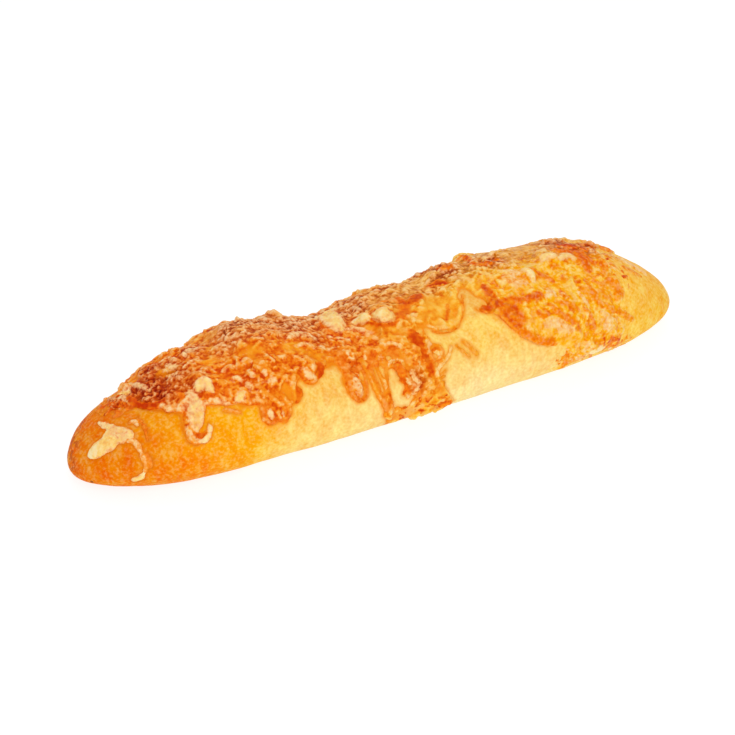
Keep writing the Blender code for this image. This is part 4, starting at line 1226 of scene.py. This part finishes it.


# %% [markdown]
# The cheese has every colour from cream to burnt orange. Ramps turn its relief into colour, darker in
# the creases, partly from browning and partly as painted shade, and the attributes choose between the
# ramps. A thin rim lets the bread's colour through.


# %% The cheese's finish
def cheese_finish():
    """Deep orange on the left and golden in the east, then toast, clear places, a crest partly of
    painted shade, and tones.
    """
    finish = Finish("melted_cheese")
    grain, blot = finish.noise(1.0 * MM, 3), finish.noise(3.0 * MM, 4)
    # The relief makes creases darker and ridges paler in the ramps below: partly browning, partly
    # painted shade in the creases.
    relief = finish.part(finish.measured("relief"), -1, 1)
    painted_shade_and_mottle = finish.sum(finish.sum(finish.sum(-0.78, relief, 0.75), grain, 0.8), blot, 1.0)
    calm_shade_and_mottle = finish.sum(finish.sum(finish.sum(-0.74, relief, 0.35), grain, 0.5), blot, 1.6)
    deep = finish.ramp(
        painted_shade_and_mottle,
        (0.1, (210, 68, 1)), (0.3, (228, 98, 3)), (0.5, (242, 134, 18)), (0.68, (247, 156, 48)),
        (0.85, (248, 176, 90)), (1.0, (249, 198, 128)),
    )
    golden = finish.ramp(
        calm_shade_and_mottle,
        (0.1, (234, 110, 2)), (0.28, (244, 148, 10)), (0.45, (250, 178, 40)), (0.6, (251, 200, 84)),
        (0.8, (251, 212, 118)), (1.0, (251, 222, 150)),
    )
    toasted = finish.ramp(
        painted_shade_and_mottle,
        (0.1, (172, 50, 1)), (0.3, (202, 82, 12)), (0.5, (219, 112, 36)), (0.7, (233, 146, 80)),
        (0.85, (239, 170, 114)), (1.0, (244, 192, 142)),
    )
    charred = finish.ramp(
        painted_shade_and_mottle,
        (0.1, (128, 24, 1)), (0.3, (160, 38, 1)), (0.5, (190, 64, 6)), (0.7, (214, 100, 34)),
        (0.85, (230, 140, 74)), (1.0, (240, 176, 116)),
    )
    peach = finish.ramp(
        painted_shade_and_mottle,
        (0.05, (228, 132, 62)), (0.3, (239, 170, 106)), (0.5, (246, 192, 130)), (0.85, (250, 212, 154)),
    )
    honey = finish.ramp(
        painted_shade_and_mottle,
        (0.05, (234, 126, 30)), (0.3, (246, 164, 62)), (0.5, (251, 186, 84)), (0.85, (253, 208, 126)),
    )
    cream = finish.ramp(
        finish.sum(finish.sum(finish.sum(-0.3, relief, 0.35), blot, 0.9), grain, 0.4),
        (0.25, (236, 150, 56)), (0.42, (247, 184, 84)), (0.55, (251, 202, 102)), (0.7, (252, 215, 130)),
        (0.95, (254, 236, 182)),
    )
    burnt = finish.ramp(
        calm_shade_and_mottle, (0.1, (202, 54, 1)), (0.4, (224, 84, 4)), (0.65, (240, 116, 12)), (0.95, (248, 150, 36))
    )
    orange = finish.ramp(
        calm_shade_and_mottle, (0.1, (222, 78, 1)), (0.4, (236, 106, 4)), (0.65, (245, 134, 12)), (0.95, (250, 162, 38))
    )
    glaze = finish.sum(finish.noise(3 * MM, 4), finish.sum(relief, -0.5), 0.45)
    deep_glaze = finish.ramp(
        glaze,
        (0.25, (230, 108, 4)), (0.45, (242, 138, 14)), (0.6, (248, 162, 34)), (0.8, (251, 186, 74)),
    )
    golden_glaze = finish.ramp(
        glaze,
        (0.25, (241, 140, 12)), (0.45, (249, 174, 44)), (0.6, (252, 194, 74)), (0.8, (253, 212, 116)),
    )
    low = finish.part(finish.height, 15 * MM, 11 * MM)
    along = finish.sum(finish.along, low, 34 * MM)
    east = finish.part(finish.sum(along, blot, 40 * MM), 0, 50 * MM)
    colour = finish.mix(east, deep, golden)
    toast = finish.sum(finish.sum(-0.6, finish.measured("toast")), blot, 1.2)
    colour = finish.mix(finish.part(toast, 0.15, 0.8), colour, toasted, 0.9)
    colour = finish.mix(finish.part(toast, 0.75, 1.25), colour, charred)
    clear = finish.sum(finish.sum(-0.4, finish.measured("clear")), blot, 0.8)
    clear = finish.part(clear, 0.25, 0.75)
    colour = finish.mix(clear, colour, finish.mix(east, deep_glaze, golden_glaze))
    # The crest is browner and duller: partly dry, toasted cheese and partly painted shade where the top
    # turns away.
    crest = finish.product(
        finish.part(finish.sum(finish.across, blot, 6 * MM), -3 * MM, 7 * MM),
        finish.part(finish.across, 26 * MM, 16 * MM),
        finish.part(finish.along, -72 * MM, -58 * MM),
        finish.part(finish.along, 102 * MM, 84 * MM),
    )
    dry_and_shaded = finish.ramp(
        painted_shade_and_mottle,
        (0.15, (146, 62, 22)), (0.35, (196, 110, 50)), (0.5, (226, 152, 86)), (0.65, (240, 180, 116)),
        (0.85, (246, 208, 154)),
    )
    colour = finish.mix(crest, colour, dry_and_shaded, 0.55)
    tone = finish.measured("tone")
    light = finish.sum(finish.sum(-0.5, tone), grain, 1.0)
    middle = finish.product(east, finish.part(finish.along, 50 * MM, 42 * MM))
    colour = finish.mix(finish.part(light, 0.1, 0.6), colour, finish.mix(middle, peach, honey))
    milky = finish.product(finish.part(light, 0.55, 0.9), finish.sum(1.0, clear, -0.6))
    colour = finish.mix(milky, colour, cream)
    colour = finish.mix(finish.part(light, 0.85, 1.35), colour, (252, 226, 170))
    dark = finish.sum(finish.sum(-0.6, tone, -1.0), blot, 1.2)
    colour = finish.mix(finish.part(dark, 0.1, 0.8), colour, finish.mix(east, burnt, orange))
    colour = finish.mix(finish.part(tone, -0.8, -1.3), colour, (200, 54, 2))
    bare = finish.part(finish.sum(along, low, 20 * MM), 40 * MM, 60 * MM)
    rim = finish.mix(bare, (243, 140, 20), bread_colour(finish))
    thin = finish.part(finish.measured("thickness"), 0.55, 0.1)
    plain = finish.part(finish.worked_out("ABSOLUTE", tone), 0.4, 0.1)
    colour = finish.mix(finish.product(thin, plain), colour, rim, 0.9)
    lively = finish.varied(colour, finish.noise(1.3 * MM, 3), 0.018, -0.22, 0.05)
    colour = finish.mix(finish.part(finish.along, 25 * MM, 50 * MM), colour, lively)
    finish.roughen(finish.noise(0.6 * MM, 3), 0.35 * MM)
    return finish.finished(colour, 0.38, 0.03, (1.0 * MM, 0.45 * MM, 0.15 * MM))


roll.data.materials.append(crust_finish())
cheese.data.materials.append(cheese_finish())
for piece in (roll, cheese):
    print(piece.name, "has a finish of", len(piece.data.materials[0].node_tree.nodes), "nodes")

# %% [markdown]
# ## Floor and light
# The photograph is bright and nearly without shadow, on white. So the light comes from all round,
# with one large soft panel above the camera and one behind. The floor glows a little, as a light
# table does, which makes it white and its shadows faint.

# %% Studio
FLOOR_SIDE = 20
FLOOR_GREY, FLOOR_GLOW = 0.2, 0.85
DAYLIGHT = 0.6
bpy.ops.mesh.primitive_plane_add(size=FLOOR_SIDE)
floor = bpy.context.object
floor.name = "floor"
paper = bpy.data.materials.new("white_paper")
paper.use_nodes = True
paper_shader = paper.node_tree.nodes["Principled BSDF"]
for name, value in (
    ("Base Color", (FLOOR_GREY, FLOOR_GREY, FLOOR_GREY, 1)), ("Roughness", 0.9),
    ("Emission Color", (1, 1, 1, 1)), ("Emission Strength", FLOOR_GLOW),
):
    paper_shader.inputs[name].default_value = value
floor.data.materials.append(paper)


def soft_panel(name, place, size, watts):
    bpy.ops.object.light_add(type="AREA", location=place)
    light = bpy.context.object
    light.name = name
    light.data.shape = "SQUARE"
    light.data.size = size
    light.data.energy = watts
    light.rotation_euler = Vector(place).to_track_quat("Z", "Y").to_euler()


soft_panel("front_panel", (-0.35, -0.95, 1.0), 0.7, 6.9)
soft_panel("back_panel", (0.3, 0.6, 1.2), 1.0, 3.8)
world = bpy.data.worlds.new("studio")
world.use_nodes = True
background = world.node_tree.nodes["Background"]
background.inputs["Color"].default_value = (1, 1, 1, 1)
background.inputs["Strength"].default_value = DAYLIGHT
bpy.context.scene.world = world
bpy.context.scene.view_settings.view_transform = "Standard"
